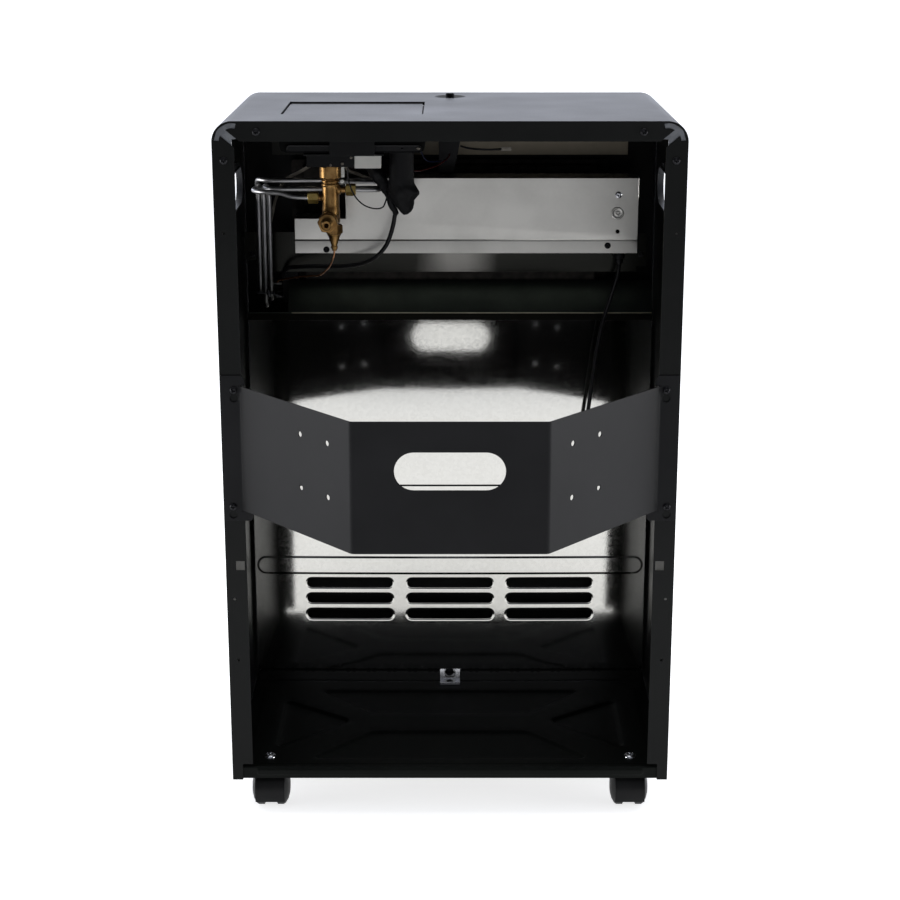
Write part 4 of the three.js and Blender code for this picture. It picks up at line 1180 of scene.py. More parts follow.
def offset_poly(poly, d):
    out = []
    n = len(poly)
    area_ = sum(poly[i][0] * poly[(i + 1) % n][1] - poly[(i + 1) % n][0] * poly[i][1] for i in range(n))
    sg = 1 if area_ > 0 else -1
    for i in range(n):
        a, c = np.array(poly[i - 1]), np.array(poly[(i + 1) % n])
        t_ = (c - a) / max(np.linalg.norm(c - a), 1e-9)
        out.append((poly[i][0] - sg * t_[1] * d, poly[i][1] + sg * t_[0] * d))
    return out


for q in PADS:
    q = densify(q, 5.0)
    for d in (-3.2, -1.8, -0.6, 0.6, 1.8, 3.2):
        d_grid += offset_poly(q, d)
q = densify(PLAT, 5.0)
for d in (-1.3, -0.4, 0.4, 1.3):
    d_grid += [p for p in offset_poly(q, d) if p[1] > 5 or abs(d) < 2]
for k in range(0, 7):                            # folds
    a = arc * k / 6
    d_grid += [(x, er - a) for x in np.linspace(-ex + 1.5, ex - 1.5, 90)]
    d_grid += [(x, ef + a) for x in np.linspace(-ex + 1.5, ex - 1.5, 60)]
    for s in (1, -1):
        d_grid += [(s * (ex + a), t) for t in np.linspace(er + 1.5, ef - 1.5, 50)]
for d in (0.0, 0.5, 1.0, 1.5, 2.0, 2.6):
    o = densify(obround(LIP[0], LIP[1], LIP[2] - 2 * d, LIP[3] - 2 * d, 10), 4.0)
    d_grid += [(x, er - arc - (54.4 - DR - z)) for x, z in o]
bolt = [circ(s * 192, t, 2.5, 16) for s in (1, -1) for t in (27, 242)]
bm = sheet("deck", d_out, bolt, deck_map, 1.0, d_grid, keep=0.35)
finish_piece(from_bm(bm, "base_plate_v"), "black_base", "cabinet", "base_plate", sharp=60.0, weighted=False)
done.add("base_plate")

# ------------------------------------------------------------------ gas train
def hex_bm(bm, centre, axis, r, h0, h1, bore=0.0, turn=0.0, cham=0.9):
    """Hexagonal nut: chamfered corners at both ends, with an optional bore; r across corners / 2, mm."""
    ax = Vector(axis).normalized()
    u = ax.orthogonal().normalized()
    w = ax.cross(u)
    n = 48

    def ring(rad_fn, h):
        out = []
        for j in range(n):
            a = 2 * pi * j / n
            rr = rad_fn(a)
            out.append(bm.verts.new(Vector(centre) + ax * h / 1000 + (u * math.cos(a) + w * math.sin(a)) * rr / 1000))
        return out

    def hexr(a):
        k = (a + turn) % (pi / 3) - pi / 6
        return r * math.cos(pi / 6) / math.cos(k)

    def capped(extra):
        return lambda a: min(hexr(a), r * math.cos(pi / 6) + extra)

    s = 1 if h1 > h0 else -1
    rows = []
    if bore:
        rows.append(ring(lambda a: bore, h0))
    rows += [ring(lambda a: r * math.cos(pi / 6) * 0.97, h0), ring(capped(0.35), h0 + s * cham * 0.35), ring(capped(r), h0 + s * cham),
             ring(capped(r), h1 - s * cham), ring(capped(0.35), h1 - s * cham * 0.35), ring(lambda a: r * math.cos(pi / 6) * 0.97, h1)]
    if bore:
        rows.append(ring(lambda a: bore, h1))
        pairs = list(zip(rows, rows[1:])) + [(rows[-1], rows[0])]
    else:
        pairs = list(zip(rows, rows[1:]))
        bm.faces.new(rows[0]); bm.faces.new(rows[-1])
    for a, b in pairs:
        for j in range(n):
            bm.faces.new((a[j], b[j], b[(j + 1) % n], a[(j + 1) % n]))
    return bm


def merged(name, parts, mat, node, sharp=38.0, body="cabinet"):
    """Several closed shells built by functions, as one piece."""
    bm = bmesh.new()
    for f in parts:
        f(bm)
    outward(bm)
    return finish_piece(from_bm(bm, name), mat, body, node or (), sharp)


UP, DOWN, XP, XM, FRONT = (0, 0, 1), (0, 0, -1), (1, 0, 0), (-1, 0, 0), (0, -1, 0)
VC = P(123.4, 122, 0)
vprof = fillet_profile([(0, 612.8), (8.0, 612.8), (9.3, 614.5), (9.3, 628), (8.9, 632), (8.9, 652.2), (9.3, 653.2), (9.3, 654.8), (8.3, 655.2), (8.3, 656.2),
                        (9.3, 656.6), (9.3, 658.4), (8.3, 658.8), (8.3, 659.8), (9.8, 660.4), (11.3, 661.4), (11.3, 672.6), (10.4, 673.8), (4.0, 673.8), (3.5, 673.2), (3.5, 662), (0, 662)], 0.45, 3)


def collar_flats(r, h, a):
    if 660.9 < h < 674 and r > 9:
        k = abs(math.cos(a - 0.9))
        return min(r, 9.9 / k) if k > 1e-3 else r
    return r


merged("gas_valve_body_v", [
    lambda b: lathe_bm(b, vprof, VC, UP, 64, collar_flats),
    lambda b: lathe_bm(b, fillet_profile([(0, 4), (5.0, 4), (5.0, 9.0), (3.9, 9.8), (3.4, 10.4), (3.4, 12.6), (0, 12.6)], 0.3), P(123.4, 122, 640.5), XP, 32),
    lambda b: lathe_bm(b, fillet_profile([(0, 4), (5.2, 4), (5.2, 9.6), (4.0, 10.6), (3.4, 11.6), (3.4, 15.4), (0, 15.4)], 0.3), P(123.4, 122, 648.5), XM, 32),
    lambda b: lathe_bm(b, fillet_profile([(0, 2), (4.0, 2), (4.0, 10.5), (3.2, 11), (3.2, 13.4), (0, 13.4)], 0.3), P(124, 122, 650), FRONT, 32),
    lambda b: hex_bm(b, P(125.2, 106.4, 617), FRONT, 11.0, 0.0, 12.0, turn=0.35),
], "brass", "gas_valve_body", sharp=32.0)
merged("inlet_nozzle_v", [
    lambda b: hex_bm(b, P(125.8, 106.2, 617), REAR, 10.7, 0.0, 8.0, bore=2.3, turn=0.35),
    lambda b: lathe_bm(b, [(2.25, 7.6), (6.4, 7.6), (6.4, 9.0), (5.4, 9.6), (5.4, 13.2), (6.0, 13.8), (6.0, 15.0), (4.7, 16.0), (4.7, 17.4), (5.3, 18.0), (5.3, 19.0), (4.4, 20.2), (2.6, 20.2), (2.25, 19.8), (2.25, 7.6)], P(126.2, 106.2, 616.8), REAR, 48),
], "brass", "inlet_nozzle", sharp=32.0)
merged("magnet_unit_v", [
    lambda b: hex_bm(b, P(120.3, 122, 612.4), DOWN, 9.0, 0.0, 9.6, turn=0.15, cham=1.1),
    lambda b: lathe_bm(b, fillet_profile([(0, 602.6), (7.4, 602.6), (7.2, 601.6), (5.9, 599.6), (3.2, 591.2), (3.0, 589.8), (3.5, 589.4), (3.5, 587.2), (2.6, 586.4), (2.6, 585.0), (0, 585.0)], 0.3), P(120.5, 122, 0), UP, 48),
], "brass", "magnet_unit", sharp=32.0)
merged("outlet_nut_right_v", [lambda b: hex_bm(b, P(136.3, 122, 640.5), XP, 6.4, 0.0, 10.7, bore=2.75, turn=0.0, cham=0.8)], "brass_nut", "outlet_nut_right", sharp=30.0)
merged("outlet_nut_left_v", [lambda b: hex_bm(b, P(107.7, 122, 648.5), XM, 6.4, 0.0, 10.3, bore=2.75, turn=0.0, cham=0.8)], "brass_nut", "outlet_nut_left", sharp=30.0)

TUBE_A = [(137.2, 122, 640.5), (150, 122, 640.5), (163, 123.5, 641), (177, 126, 644.3), (194, 129, 645), (204, 139, 645), (204.6, 158, 645), (202.6, 182, 643.5), (201, 197, 636), (200.8, 201, 622), (200.8, 201, 590), (200.8, 201, 560), (200.8, 201, 522), (200.8, 206, 510.5), (200.8, 218, 508), (200.8, 245, 508), (198, 261, 508), (189, 265, 508)]
TUBE_B = [(106.8, 122, 648.5), (96, 122, 648.5), (85, 122.5, 648.2), (76, 127, 647.6), (72.5, 137, 647), (77, 146.5, 646.4), (90, 149.5, 646), (130, 149, 645.8), (176, 147, 645.6), (189, 150.5, 645.4), (195, 161, 645.2), (195.4, 178, 644.6), (195, 192, 640), (194.9, 200, 629), (194.9, 201, 612), (194.9, 201, 575), (194.9, 201, 532), (194.9, 206, 518.5), (194.9, 218, 515.5), (194.9, 245, 515.5), (193.4, 260, 515.5), (189.2, 264.6, 515.5)]
TUBE_C = [(124, 135.4, 650), (124, 139.5, 650.4), (123.4, 143, 651.8), (118, 152, 652), (104, 160, 651.4), (86, 162, 650.8), (77, 165, 650.5), (75, 172, 650.5), (82, 178.5, 650.5), (100, 180, 650.5), (150, 178, 650.5), (184, 175.5, 650.5), (196, 177, 650.6), (204, 184, 650.3), (206.4, 194.5, 644), (206.6, 201.5, 632), (206.6, 202, 615), (206.6, 202, 580), (206.6, 202, 540), (206.6, 207, 526.5), (206.6, 220, 523), (206.4, 246, 523), (203, 260, 523), (189.2, 264.6, 523)]
for node, pts, r in (("gas_tube_right", TUBE_A, 2.55), ("gas_tube_left", TUBE_B, 2.55), ("gas_tube_pilot", TUBE_C, 2.45)):
    rod(node + "_v", [P(*p) for p in pts], r / 1000, "aluminium_tube", "cabinet", node, n=20, step=0.0012, cap="flat")
THERMO = [(120.6, 122, 585.6), (120.8, 122.4, 581), (122, 124, 577), (126, 135, 567), (132, 150, 558.5), (140.3, 163, 550.8), (152, 175, 548), (166, 186, 544.5), (178, 196, 541), (186, 207, 537.5), (190, 220, 533), (190.5, 236, 530), (190.5, 246, 530)]
rod("thermocouple_lead_v", [P(*p) for p in THERMO], 0.0010, "copper", "cabinet", "thermocouple_lead", n=12, step=0.0015)
done |= {"gas_valve_body", "inlet_nozzle", "magnet_unit", "outlet_nut_right", "outlet_nut_left", "gas_tube_right", "gas_tube_left", "gas_tube_pilot", "thermocouple_lead"}

# igniter with its soft boot
BOOT = [  # z, left x, right x, centre t, depth radius, fold depth
    (693.4, 62.2, 37.6, 125, 12.6, 0.0), (690, 62.4, 37.2, 125, 12.7, 0.0), (680, 62.5, 37.2, 125, 12.7, 0.05), (668, 62.8, 37.2, 125, 12.8, 0.15), (660, 63.4, 37.3, 125, 12.9, 0.3),
    (655, 63.8, 36.4, 125, 13.0, 0.6), (650.5, 64.1, 34.4, 124.6, 12.8, 0.9), (646.6, 64.6, 32.4, 124.2, 12.2, 1.1), (643.6, 64.7, 32.0, 124, 11.6, 1.1), (640.6, 64.0, 34.4, 123.8, 10.9, 1.0),
    (637.0, 61.2, 36.6, 123.6, 10.0, 1.0), (633, 57.6, 37.0, 123, 9.0, 0.9), (629, 54.2, 38.2, 122.4, 7.6, 0.8), (625.6, 51.4, 40.2, 121.8, 5.8, 0.6), (623.2, 49.2, 43.6, 121.4, 3.6, 0.3)]
bz = np.array([b[0] for b in BOOT])[::-1]
b_cols = [np.array([b[k] for b in BOOT])[::-1] for k in range(1, 6)]
bm = bmesh.new()
rings = []
for k in range(64):
    z = 693.4 + (623.2 - 693.4) * k / 63
    xl, xr, ct, dr, fold = (float(np.interp(z, bz, c)) for c in b_cols)
    ring = []
    for j in range(72):
        a = 2 * pi * j / 72
        q = noise.noise(Vector((math.cos(a) * 1.5, math.sin(a) * 1.5, z * 0.075)))
        q2 = noise.noise(Vector((math.cos(a) * 3.4, math.sin(a) * 3.4, z * 0.21 + 4)))
        f = 1 + (fold * (1.5 * q + 0.9 * q2)) / 12
        cx = (xl + xr) / 2
        ring.append(bm.verts.new(P(cx + (xl - xr) / 2 * math.cos(a) * f, ct - dr * math.sin(a) * f, z)))
    rings.append(ring)
tip = bm.verts.new(P(47.4, 121.3, 622.3))
for a, b in zip(rings, rings[1:]):
    for j in range(72):
        bm.faces.new((a[j], b[j], b[(j + 1) % 72], a[(j + 1) % 72]))
for j in range(72):
    bm.faces.new((rings[-1][j], tip, rings[-1][(j + 1) % 72]))
# open top: inner wall down to a flat-bottomed bore that takes the button
inner = []
for r, z in ((9.0, 693.4), (9.0, 681.2)):
    inner.append([bm.verts.new(P(49.4 + r * math.cos(2 * pi * j / 72), 125 - r * math.sin(2 * pi * j / 72), z)) for j in range(72)])
for a, b in ((rings[0], inner[0]), (inner[0], inner[1])):
    for j in range(72):
        bm.faces.new((a[j], a[(j + 1) % 72], b[(j + 1) % 72], b[j]))
bm.faces.new(inner[1])
outward(bm)
finish_piece(from_bm(bm, "piezo_igniter_v"), "black_rubber", "cabinet", "piezo_igniter", sharp=50.0)
done.add("piezo_igniter")


def soft_tube(name, pts, radius, mat, n=24, seed=1.0, amount=0.18):
    path = smooth_path([P(*p) for p in pts], 0.0012)
    bm = bmesh.new()
    sweep_bm(bm, path, lambda k: radius(k) / 1000, n)
    for v in bm.verts:
        q = noise.noise(v.co * 230 + Vector((seed, 0, 0)))
        c = min(path, key=lambda p: (p - v.co).length_squared)
        v.co = c + (v.co - c) * (1 + amount * q)
    outward(bm)
    return finish_piece(from_bm(bm, name), mat, "cabinet", (), 60.0, weighted=False)


soft_tube("igniter_sleeve", [(86, 131, 674.5), (79, 132, 667), (71.5, 131.5, 657), (66.5, 129.5, 648), (63.6, 127, 641.5)], lambda k: 2.6 + 4.2 * math.sin(pi * min(1, 0.15 + k * 0.8)), "black_rubber", amount=0.22)
soft_tube("igniter_strain_relief", [(63.5, 124.6, 645), (62.2, 124.6, 638), (60.4, 125.4, 631), (57.6, 127.6, 626.6), (56.3, 128.6, 622.6)], lambda k: 3.9 - 0.9 * k, "black_rubber", amount=0.06, seed=3.0)
rod("fine_wire", [P(*p) for p in ((103.2, 106, 678.5), (104.6, 107, 671), (104.5, 108, 662.5), (102.6, 108, 655.3), (99.6, 108, 647.1), (94.6, 109, 639.7), (88.6, 110, 634.4), (81.4, 111, 631.2), (74.3, 113, 630.2), (69.2, 115, 631.6), (67.1, 117, 635.4), (65.2, 119.5, 641.3), (64.2, 121.5, 646))], 0.00075, "lead_black", n=10, step=0.0012)
rod("red_wire", [P(*p) for p in ((37.6, 131, 667), (33, 138, 665.6), (25, 160, 664.5), (13, 190, 664.8), (2, 222, 669), (0, 228.6, 672))], 0.0007, "wire_red", n=10)
rod("blue_wire", [P(*p) for p in ((38.5, 134, 689), (31, 140, 686), (27.5, 152, 678), (22, 180, 670), (9, 214, 666), (4, 228.6, 664))], 0.0007, "wire_blue", n=10)
rod("spade_wire", [P(*p) for p in ((-11.6, 240, 679), (-18, 240.5, 677), (-30, 241, 675.5), (-46, 241.3, 675), (-56, 241, 675.6))], 0.0011, "lead_black", n=12)
block("spade_end", (-67, -55.4, 240.3, 241.3, 673.6, 678), "stay_grey", 0.25, 2)

# stays between the valve bracket and the sheet metal in front
for name, pts in (("stay_left", ((143, 147.6, 676), (146, 168, 668), (160, 183, 658.5), (176, 198, 648), (188, 213, 627), (199, 232.4, 585))),
                  ("stay_right", ((112, 147.6, 675.6), (107.4, 164, 663.4), (96, 180, 656), (84, 194.4, 649.4)))):
    path = smooth_path([P(*p) for p in pts], 0.003)
    bm = bmesh.new()
    rows = []
    for i, p in enumerate(path):
        d = (path[min(i + 1, len(path) - 1)] - path[max(i - 1, 0)]).normalized()
        a = Vector((0, 1, 0)).cross(d).normalized()
        b = d.cross(a).normalized()
        rows.append([bm.verts.new(p + a * x * 0.0016 + b * y * 0.0004) for x, y in ((-1, -1), (-0.9, -1.3), (0.9, -1.3), (1, -1), (1, 1), (0.9, 1.3), (-0.9, 1.3), (-1, 1))])
    for a, b in zip(rows, rows[1:]):
        for j in range(8):
            bm.faces.new((a[j], a[(j + 1) % 8], b[(j + 1) % 8], b[j]))
    bm.faces.new(rows[0]); bm.faces.new(rows[-1])
    outward(bm)
    finish_piece(from_bm(bm, name), "stay_grey", "cabinet", (), 30.0)

# tie round the three tubes, its tail pointing in
o = obround(200.8, 201.4, 18.6, 6.9, 10)
bm = bmesh.new()
sweep_bm(bm, [P(x, t, 524.6 + 0.02 * (x - 200.8)) for x, t in o], 0.0008, 10, closed=True)
sweep_bm(bm, [P(*p) for p in ((196, 197.4, 524.4), (193, 196.4, 524.2), (188, 195.6, 523.0), (183, 195.2, 521.2))], 0.0008, 10)
sweep_bm(bm, [P(*p) for p in ((198, 197.2, 527.4), (197.4, 196.6, 524.5), (197, 197.0, 521.6))], 0.0016, 10)
outward(bm)
finish_piece(from_bm(bm, "tube_tie"), "grey_plastic", "cabinet", (), weighted=False)

# connector block, its little parts under the bracket
bm = bmesh.new()
box_bm(bm, 70.4, 97.4, 100, 118, 673.3, 690.4)
box_bm(bm, 70.4, 76.6, 100.4, 117, 689.8, 691.3)
outward(bm)
bevelled(bm, 0.6, 3)
finish_piece(from_bm(bm, "terminal_block_v"), "white_plastic", "cabinet", "terminal_block", sharp=40.0)
done.add("terminal_block")
block("pale_tab", (107.9, 111.2, 103.4, 104.6, 663.5, 674.9), "white_plastic", 0.3, 2)
phillips("bracket_screw_a", P(109.6, 97.96, 678.4), REAR, 1.7, 1.0, "stay_grey", n=32)
phillips("bracket_screw_b", P(121.6, 97.96, 677.0), REAR, 1.5, 0.9, "stay_grey", n=32)
phillips("bracket_screw_c", P(100.6, 97.96, 684.6), REAR, 1.5, 0.9, "stay_grey", n=32)
turned("pale_stud", [(0, 0), (1.5, 0), (1.9, 0.6), (1.9, 2.6), (1.2, 3.2), (0, 3.2)], P(110.4, 108.4, 659.4), REAR, "white_plastic", n=24)

# bar along the tray's rear edge, rounded ends and a raised rim
o = obround(95.7, 698.1, 134.6, 7.4, 12)


def bar_map(x, z):
    d = ob_depth(x, z, (95.7, 698.1, 134.6, 7.4))
    t = 59.0 - 0.55 * (1 - sstep(0.35, 1.1, d))
    return array_point(x, t, z), np.tile([0.0, 1.0, 0.0], (len(x), 1))


g = []
for q in (0.35, 0.6, 0.85, 1.1, 1.6):
    g += densify(obround(95.7, 698.1, 134.6 - 2 * q, 7.4 - 2 * q, 12), 3.0)
bm = sheet("bar", densify(o, 3.0), [circ(47.8, 698.6, 1.15, 20)], bar_map, 0.9, g, keep=0.12)
finish_piece(from_bm(bm, "tray_bar"), "black_plastic", "cabinet", (), sharp=50.0, weighted=False)
turned("tray_stud", [(0, 0), (1.5, 0), (1.5, 0.9), (0.9, 1.4), (0, 1.4)], P(31.6, 59.2, 698.6), REAR, "stay_grey", n=24)

# ------------------------------------------------------------------ sheet metal round the burner
def soft_crease(bm):
    """A folded seam across the rear face of the box: a narrow groove."""
    yr = (YR - 195) / 1000
    for z in (584.3, 583.5, 582.6, 582.2):
        fs = [f for f in bm.faces if abs(f.normal.y) > 0.9 and abs(f.calc_center_median().y - yr) < 3e-4]
        geom = fs + list({e for f in fs for e in f.edges}) + list({v for f in fs for v in f.verts})
        bmesh.ops.bisect_plane(bm, geom=geom, dist=1e-6, plane_co=(0, 0, z / 1000), plane_no=(0, 0, 1))
    for v in bm.verts:
        if abs(v.co.y - yr) < 1e-5 and 0.5824 < v.co.z < 0.5837:
            v.co.y -= 0.0009


refine("burner_box", width=0.7, segs=3, mat="galvanised_smooth", edit=soft_crease, sharp=30.0,
       test=lambda e: not all(0.5815 < v.co.z < 0.585 and abs(v.co.y - (YR - 195) / 1000) < 1.2e-3 for v in e.verts))
done.add("burner_box")
merged("box_clinch", [
    lambda b: lathe_bm(b, fillet_profile([(0, -0.3), (6.9, -0.3), (6.9, 0.25), (6.2, 0.75), (5.3, 0.8), (4.6, 0.3), (3.9, 0.2), (2.6, 0.2), (2.0, 0.55), (1.2, 0.6), (0.7, 0.25), (0, 0.2)], 0.12), P(-180.1, 194.95, 612.4), REAR, 48),
    lambda b: [lathe_bm(b, [(0, -0.2), (0.75, -0.2), (0.6, 0.5), (0, 0.62)], P(-180.1 + 3.2 * math.cos(a), 194.9, 612.4 + 3.2 * math.sin(a)), REAR, 16) for a in (0.5, 2.6, 4.7)],
], "galvanised_smooth", ())
refine("burner_back_plate", width=0.25, mat="galvanised_strip")
refine("burner_shelf", width=0.25, mat="shelf_dark")
refine("burner_body", width=0.8, segs=3, mat="burner_dark")
refine("front_heat_shield", width=0.2, mat="shield_warm")
for s in ("right", "left"):
    refine("corner_bracket_" + s, width=0.25, mat="bracket_grey")
done |= {"burner_back_plate", "burner_shelf", "burner_body", "front_heat_shield", "corner_bracket_right", "corner_bracket_left"}
# rolled edge of the shelf lip
rod("shelf_bead", [P(x, 232.75 + 0.12 * math.sin(x * 0.05), 495.55) for x in range(-224, 180, 8)], 0.00062, "lip_bright", n=10, step=0.004)
# clip at the foot of the front panel: foot plate with a folded rear edge, upright U round a screw
u_out = [(-11.6, 58.2), (11.6, 58.2), (11.6, 69.2)] + [(10.4 + 1.2 * math.cos(a), 69.2 + 1.2 * math.sin(a)) for a in (0.5, 1.0, 1.57)] + [(7.4, 70.4)] \
    + [(6.9 + 0.5 * math.cos(a), 69.9 + 0.5 * math.sin(a)) for a in (2.0, 2.6, 3.1)] + [(6.4, 63.0), (5.2, 60.9), (3.0, 60.1), (-3.0, 60.1), (-5.2, 60.9), (-6.4, 63.0)] \
    + [(-6.9 + 0.5 * math.cos(a), 69.9 + 0.5 * math.sin(a)) for a in (0.0, 0.5, 1.1)] + [(-7.4, 70.4)] + [(-10.4 + 1.2 * math.cos(a), 69.2 + 1.2 * math.sin(a)) for a in (1.57, 2.1, 2.6)] + [(-11.6, 69.2)]


def clip_upright(b):
    s_ = len(b.verts)
    prism_bm(b, u_out, 228.9, 229.9, PT)
    b.verts.ensure_lookup_table()
    for v in b.verts[s_:]:
        v.co.y -= (v.co.z - 0.0582) * math.tan(math.radians(9.5))


def clip_foot(b):
    box_bm(b, -11.6, 11.6, 218.9, 231.0, 58.15, 59.1)
    s_ = len(b.verts)
    box_bm(b, -11.6, 11.6, 218.0, 219.0, 55.4, 59.0)
    b.verts.ensure_lookup_table()
    for v in b.verts[s_:]:
        v.co.y -= (v.co.z - 0.0554) * math.tan(math.radians(9.5))


bm = bmesh.new()
clip_upright(bm); clip_foot(bm)
outward(bm)
bevelled(bm, 0.3, 2)
finish_piece(from_bm(bm, "base_clip_v"), "clip_zinc", "cabinet", "base_clip", sharp=34.0)
done.add("base_clip")
turned("clip_stud", [(0, 0), (4.6, 0), (4.6, 1.0), (3.8, 2.0), (1.6, 2.3), (0.9, 1.6), (0, 1.5)], P(0.6, 231.6, 66.4), REAR, "screw_black", n=32, fillet=0.2)
for t0, t1, tag in ((20, 54, "rear"), (235, 269, "front")):
    for s in (1, -1):
        block(f"stem_plate_{tag}_{'right' if s > 0 else 'left'}", (s * 192 - 22, s * 192 + 22, t0, t1, 50.3, 53.0), "black_base", 0.6, 2)

# ------------------------------------------------------------------ front: louvres, guard, plaques, frame
for i in range(4):
    for x in (105, -105):
        zc = 62 + 12 * i
        bm = bmesh.new()
        rows = []
        L = 78.0
        for k in range(37):
            u = -L + 2 * L * k / 36
            e = max(0.0, (abs(u) - (L - 7.5)) / 7.5)
            h = 1.28 * math.sqrt(max(0.0, 1 - e * e))
            top = 7.6 * math.sqrt(max(0.0, 1 - 0.75 * e * e))
            sec = [(288.1, zc + top), (288.42, zc + top)] + [(288.4 + h * math.sin(pi / 2 * q / 6), zc + top - (top + 0.6) * (1 - math.cos(pi / 2 * q / 6))) for q in range(1, 7)] \
                + [(288.4 + h * 0.93, zc - 1.3), (288.35 + h * 0.55, zc - 1.25), (288.1, zc + 0.2)]
            rows.append([bm.verts.new(P(x + u, t, z)) for t, z in sec])
        n_ = len(rows[0])
        for a, b in zip(rows, rows[1:]):
            for j in range(n_):
                bm.faces.new((a[j], a[(j + 1) % n_], b[(j + 1) % n_], b[j]))
        bm.faces.new(rows[0]); bm.faces.new(rows[-1])
        outward(bm)
        finish_piece(from_bm(bm, f"louvre_{i}_{'right' if x > 0 else 'left'}"), "black_case", "cabinet", (), 40.0, weighted=False)

bm = bmesh.new()
loop = densify(round_rect(-168.5, 168.5, 502.5, 652.5, 5.0, 8), 12.0)
sweep_bm(bm, [P(x, 282.5, z) for x, z in loop], 0.0019, 16, closed=True)
for i in range(1, 9):
    sweep_bm(bm, [P(x, 281.9, 502.5 + 16.67 * i) for x in (-168.3, -90, 0, 90, 168.3)], 0.00125, 12)
for x in (-84, 0, 84):
    sweep_bm(bm, [P(x, 283.3, z) for z in (503, 540, 578, 616, 652)], 0.0012, 12)
outward(bm)
finish_piece(from_bm(bm, "guard_grille_v"), "chrome_wire", "cabinet", "guard_grille", sharp=60.0, weighted=False)
done.add("guard_grille")


def plaque(node, cx):
    """Perforated ceramic: a closed block whose front is a grid of small blind holes."""
    nx, nz, r, deep = 28, 40, 1.02, 1.6
    x0, x1, z0, z1, t0, t1 = cx - 48, cx + 48, 509.0, 645.0, 262.3, 271.4
    m = 2.2
    px_, pz_ = (x1 - x0 - 2 * m) / nx, (z1 - z0 - 2 * m) / nz
    xs = np.linspace(x0 + m, x1 - m, 2 * nx + 1)
    zs = np.linspace(z0 + m, z1 - m, 2 * nz + 1)
    verts, faces, key = [], [], {}

    def g(i, j):
        if (i, j) not in key:
            key[(i, j)] = len(verts)
            verts.append(P(xs[i], t1, zs[j]))
        return key[(i, j)]
    ring8 = [(1, 0), (1, 1), (0, 1), (-1, 1), (-1, 0), (-1, -1), (0, -1), (1, -1)]
    for a in range(nx):
        for b in range(nz):
            i, j = 2 * a + 1, 2 * b + 1
            outer = [g(i + dx, j + dz) for dx, dz in ring8]
            s = len(verts)
            for t, k in ((t1, 1.0), (t1 - deep, 0.86)):
                for q in range(8):
                    an = pi / 4 * q
                    verts.append(P(xs[i] + r * k * math.cos(an), t, zs[j] + r * k * math.sin(an)))
            for q in range(8):
                w = (q + 1) % 8
                faces.append((outer[q], outer[w], s + w, s + q))
                faces.append((s + q, s + w, s + 8 + w, s + 8 + q))
            faces.append(tuple(s + 8 + q for q in range(8)))
    edge = [g(i, 0) for i in range(2 * nx + 1)] + [g(2 * nx, j) for j in range(1, 2 * nz + 1)] + [g(i, 2 * nz) for i in range(2 * nx - 1, -1, -1)] + [g(0, j) for j in range(2 * nz - 1, 0, -1)]
    c = np.array([cx, 577.0])
    front, back = [], []
    for v in edge:
        co = verts[v]
        x, z = co[0] * 1000, co[2] * 1000
        fx = x0 if x <= xs[0] + 1e-6 else x1 if x >= xs[-1] - 1e-6 else x
        fz = z0 if z <= zs[0] + 1e-6 else z1 if z >= zs[-1] - 1e-6 else z
        front.append(len(verts)); verts.append(P(fx, t1 - 0.35, fz))
        back.append(len(verts)); verts.append(P(fx, t0, fz))
    n_ = len(edge)
    for q in range(n_):
        w = (q + 1) % n_
        faces.append((edge[q], edge[w], front[w], front[q]))
        faces.append((front[q], front[w], back[w], back[q]))
    faces.append(tuple(back))
    bm = bmesh.new()
    vs = [bm.verts.new(v) for v in verts]
    for f in faces:
        bm.faces.new([vs[i] for i in f])
    outward(bm)
    bmesh.ops.triangulate(bm, faces=[f for f in bm.faces if len(f.verts) > 8])
    finish_piece(from_bm(bm, node + "_v"), "ceramic", "cabinet", node, sharp=40.0, weighted=False)


for node, cx in (("ceramic_plaque_left", -108), ("ceramic_plaque_centre", 0), ("ceramic_plaque_right", 108)):
    plaque(node, cx)
    done.add(node)


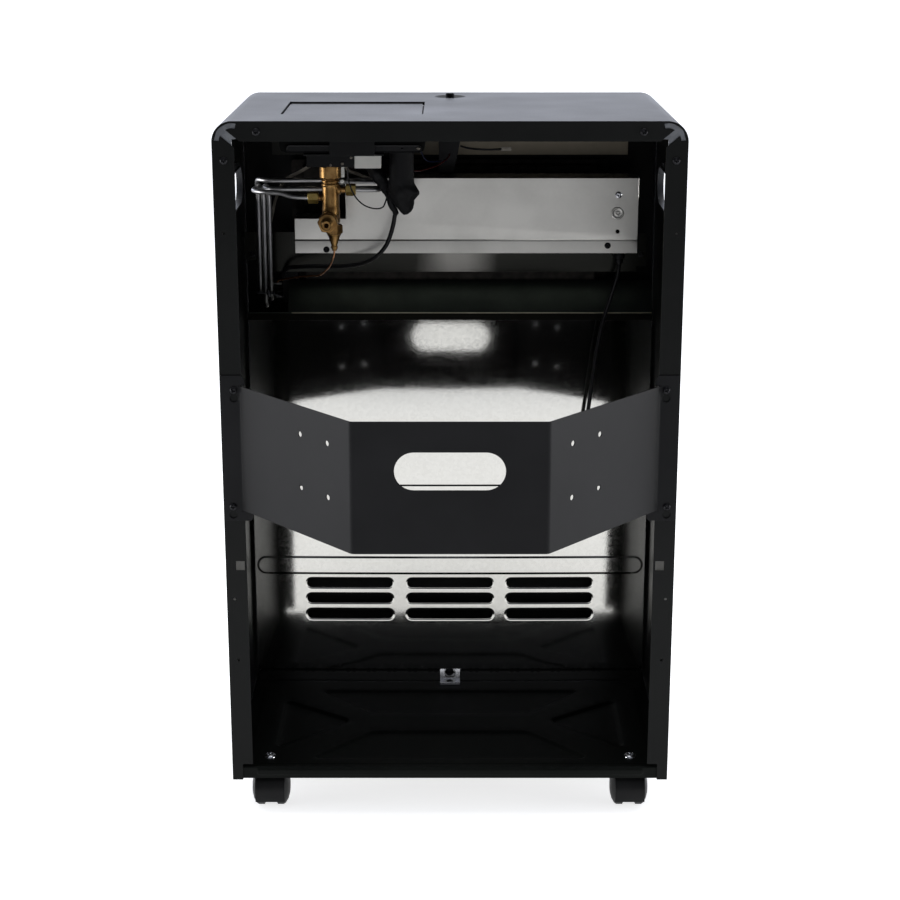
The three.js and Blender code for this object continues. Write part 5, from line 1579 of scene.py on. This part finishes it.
def frame_map(x, z):
    d = np.full(np.shape(x), 99.0)
    for cx in (-108, 0, 108):
        dx, dz = np.abs(x - cx) - 45, np.abs(z - 577) - 65
        out = np.hypot(np.maximum(dx, 0), np.maximum(dz, 0)) + np.minimum(np.maximum(dx, dz), 0)
        d = np.minimum(d, np.abs(out))
    de = np.minimum(np.minimum(x + 176, 176 - x), np.minimum(z - 498, 660 - z))
    t = 273.0 + 1.5 * (1 - sstep(0.4, 3.4, d)) * -0.6 + 2.4 * sstep(7.0, 0.5, de) * 0.0
    t = t + 0.9 * sstep(4.0, 9.0, de) * sstep(3.0, 7.0, d)
    return array_point(x, t, z), np.tile([0.0, -1.0, 0.0], (len(x), 1))


f_out = densify(round_rect(-176, 176, 498, 660, 4, 5), 8.0)
f_holes = [densify(round_rect(cx - 45, cx + 45, 512, 642, 3.5, 5), 8.0) for cx in (-108, 0, 108)]
f_grid = []
for h in f_holes:
    for d in (-0.5, -1.4, -2.4, -3.4, -5.0, -7.0):
        f_grid += offset_poly(h, d)
for d in (0.8, 2.5, 4.0, 5.5, 7.2, 9.0):
    f_grid += offset_poly(f_out, d)
bm = sheet("frame", f_out, f_holes, frame_map, 0.9, f_grid, keep=0.3)
finish_piece(from_bm(bm, "burner_frame_v"), "burner_dark", "cabinet", "burner_frame", sharp=55.0, weighted=False)
done.add("burner_frame")
for i, (x, z) in enumerate(((-168, 505), (168, 505), (-168, 653), (168, 653), (-54, 653), (54, 653))):
    phillips(f"frame_screw_{i}", P(x, 274.0, z), FRONT, 3.0, 1.4, "spindle_steel", n=32, spin=0.3 + i)

def flap_edges(bm):
    """A little more room at both sides of the flap than the solid has."""
    for v in bm.verts:
        if v.co.x < 0.0285:
            v.co.x += 0.0009
        elif v.co.x > 0.1665:
            v.co.x -= 0.0005


refine("control_flap", width=0.4, segs=3, edit=flap_edges)
done.add("control_flap")
refine("control_tray", width=0.25, mat="tray_black", merge=False)
done.add("control_tray")
# painted shadow: a thin matt black crescent on the flap stands for the shade inside the finger scoop
r_ = [(97.5 + 9.3 * math.cos(a), 60.5 + 9.3 * math.sin(a)) for a in np.linspace(math.radians(36), math.radians(144), 21)]
bm = bmesh.new()
prism_bm(bm, r_, 729.52, 730.05, PZ)
outward(bm)
finish_piece(from_bm(bm, "flap_scoop_shadow"), "scoop_shadow_black", BODY_OF["control_flap"], (), weighted=False)

for node in sorted(N):
    if node not in done:
        refine(node)
        done.add(node)

sc = bpy.context.scene
sc.view_settings.view_transform = "Standard"
sc.view_settings.look = "None"
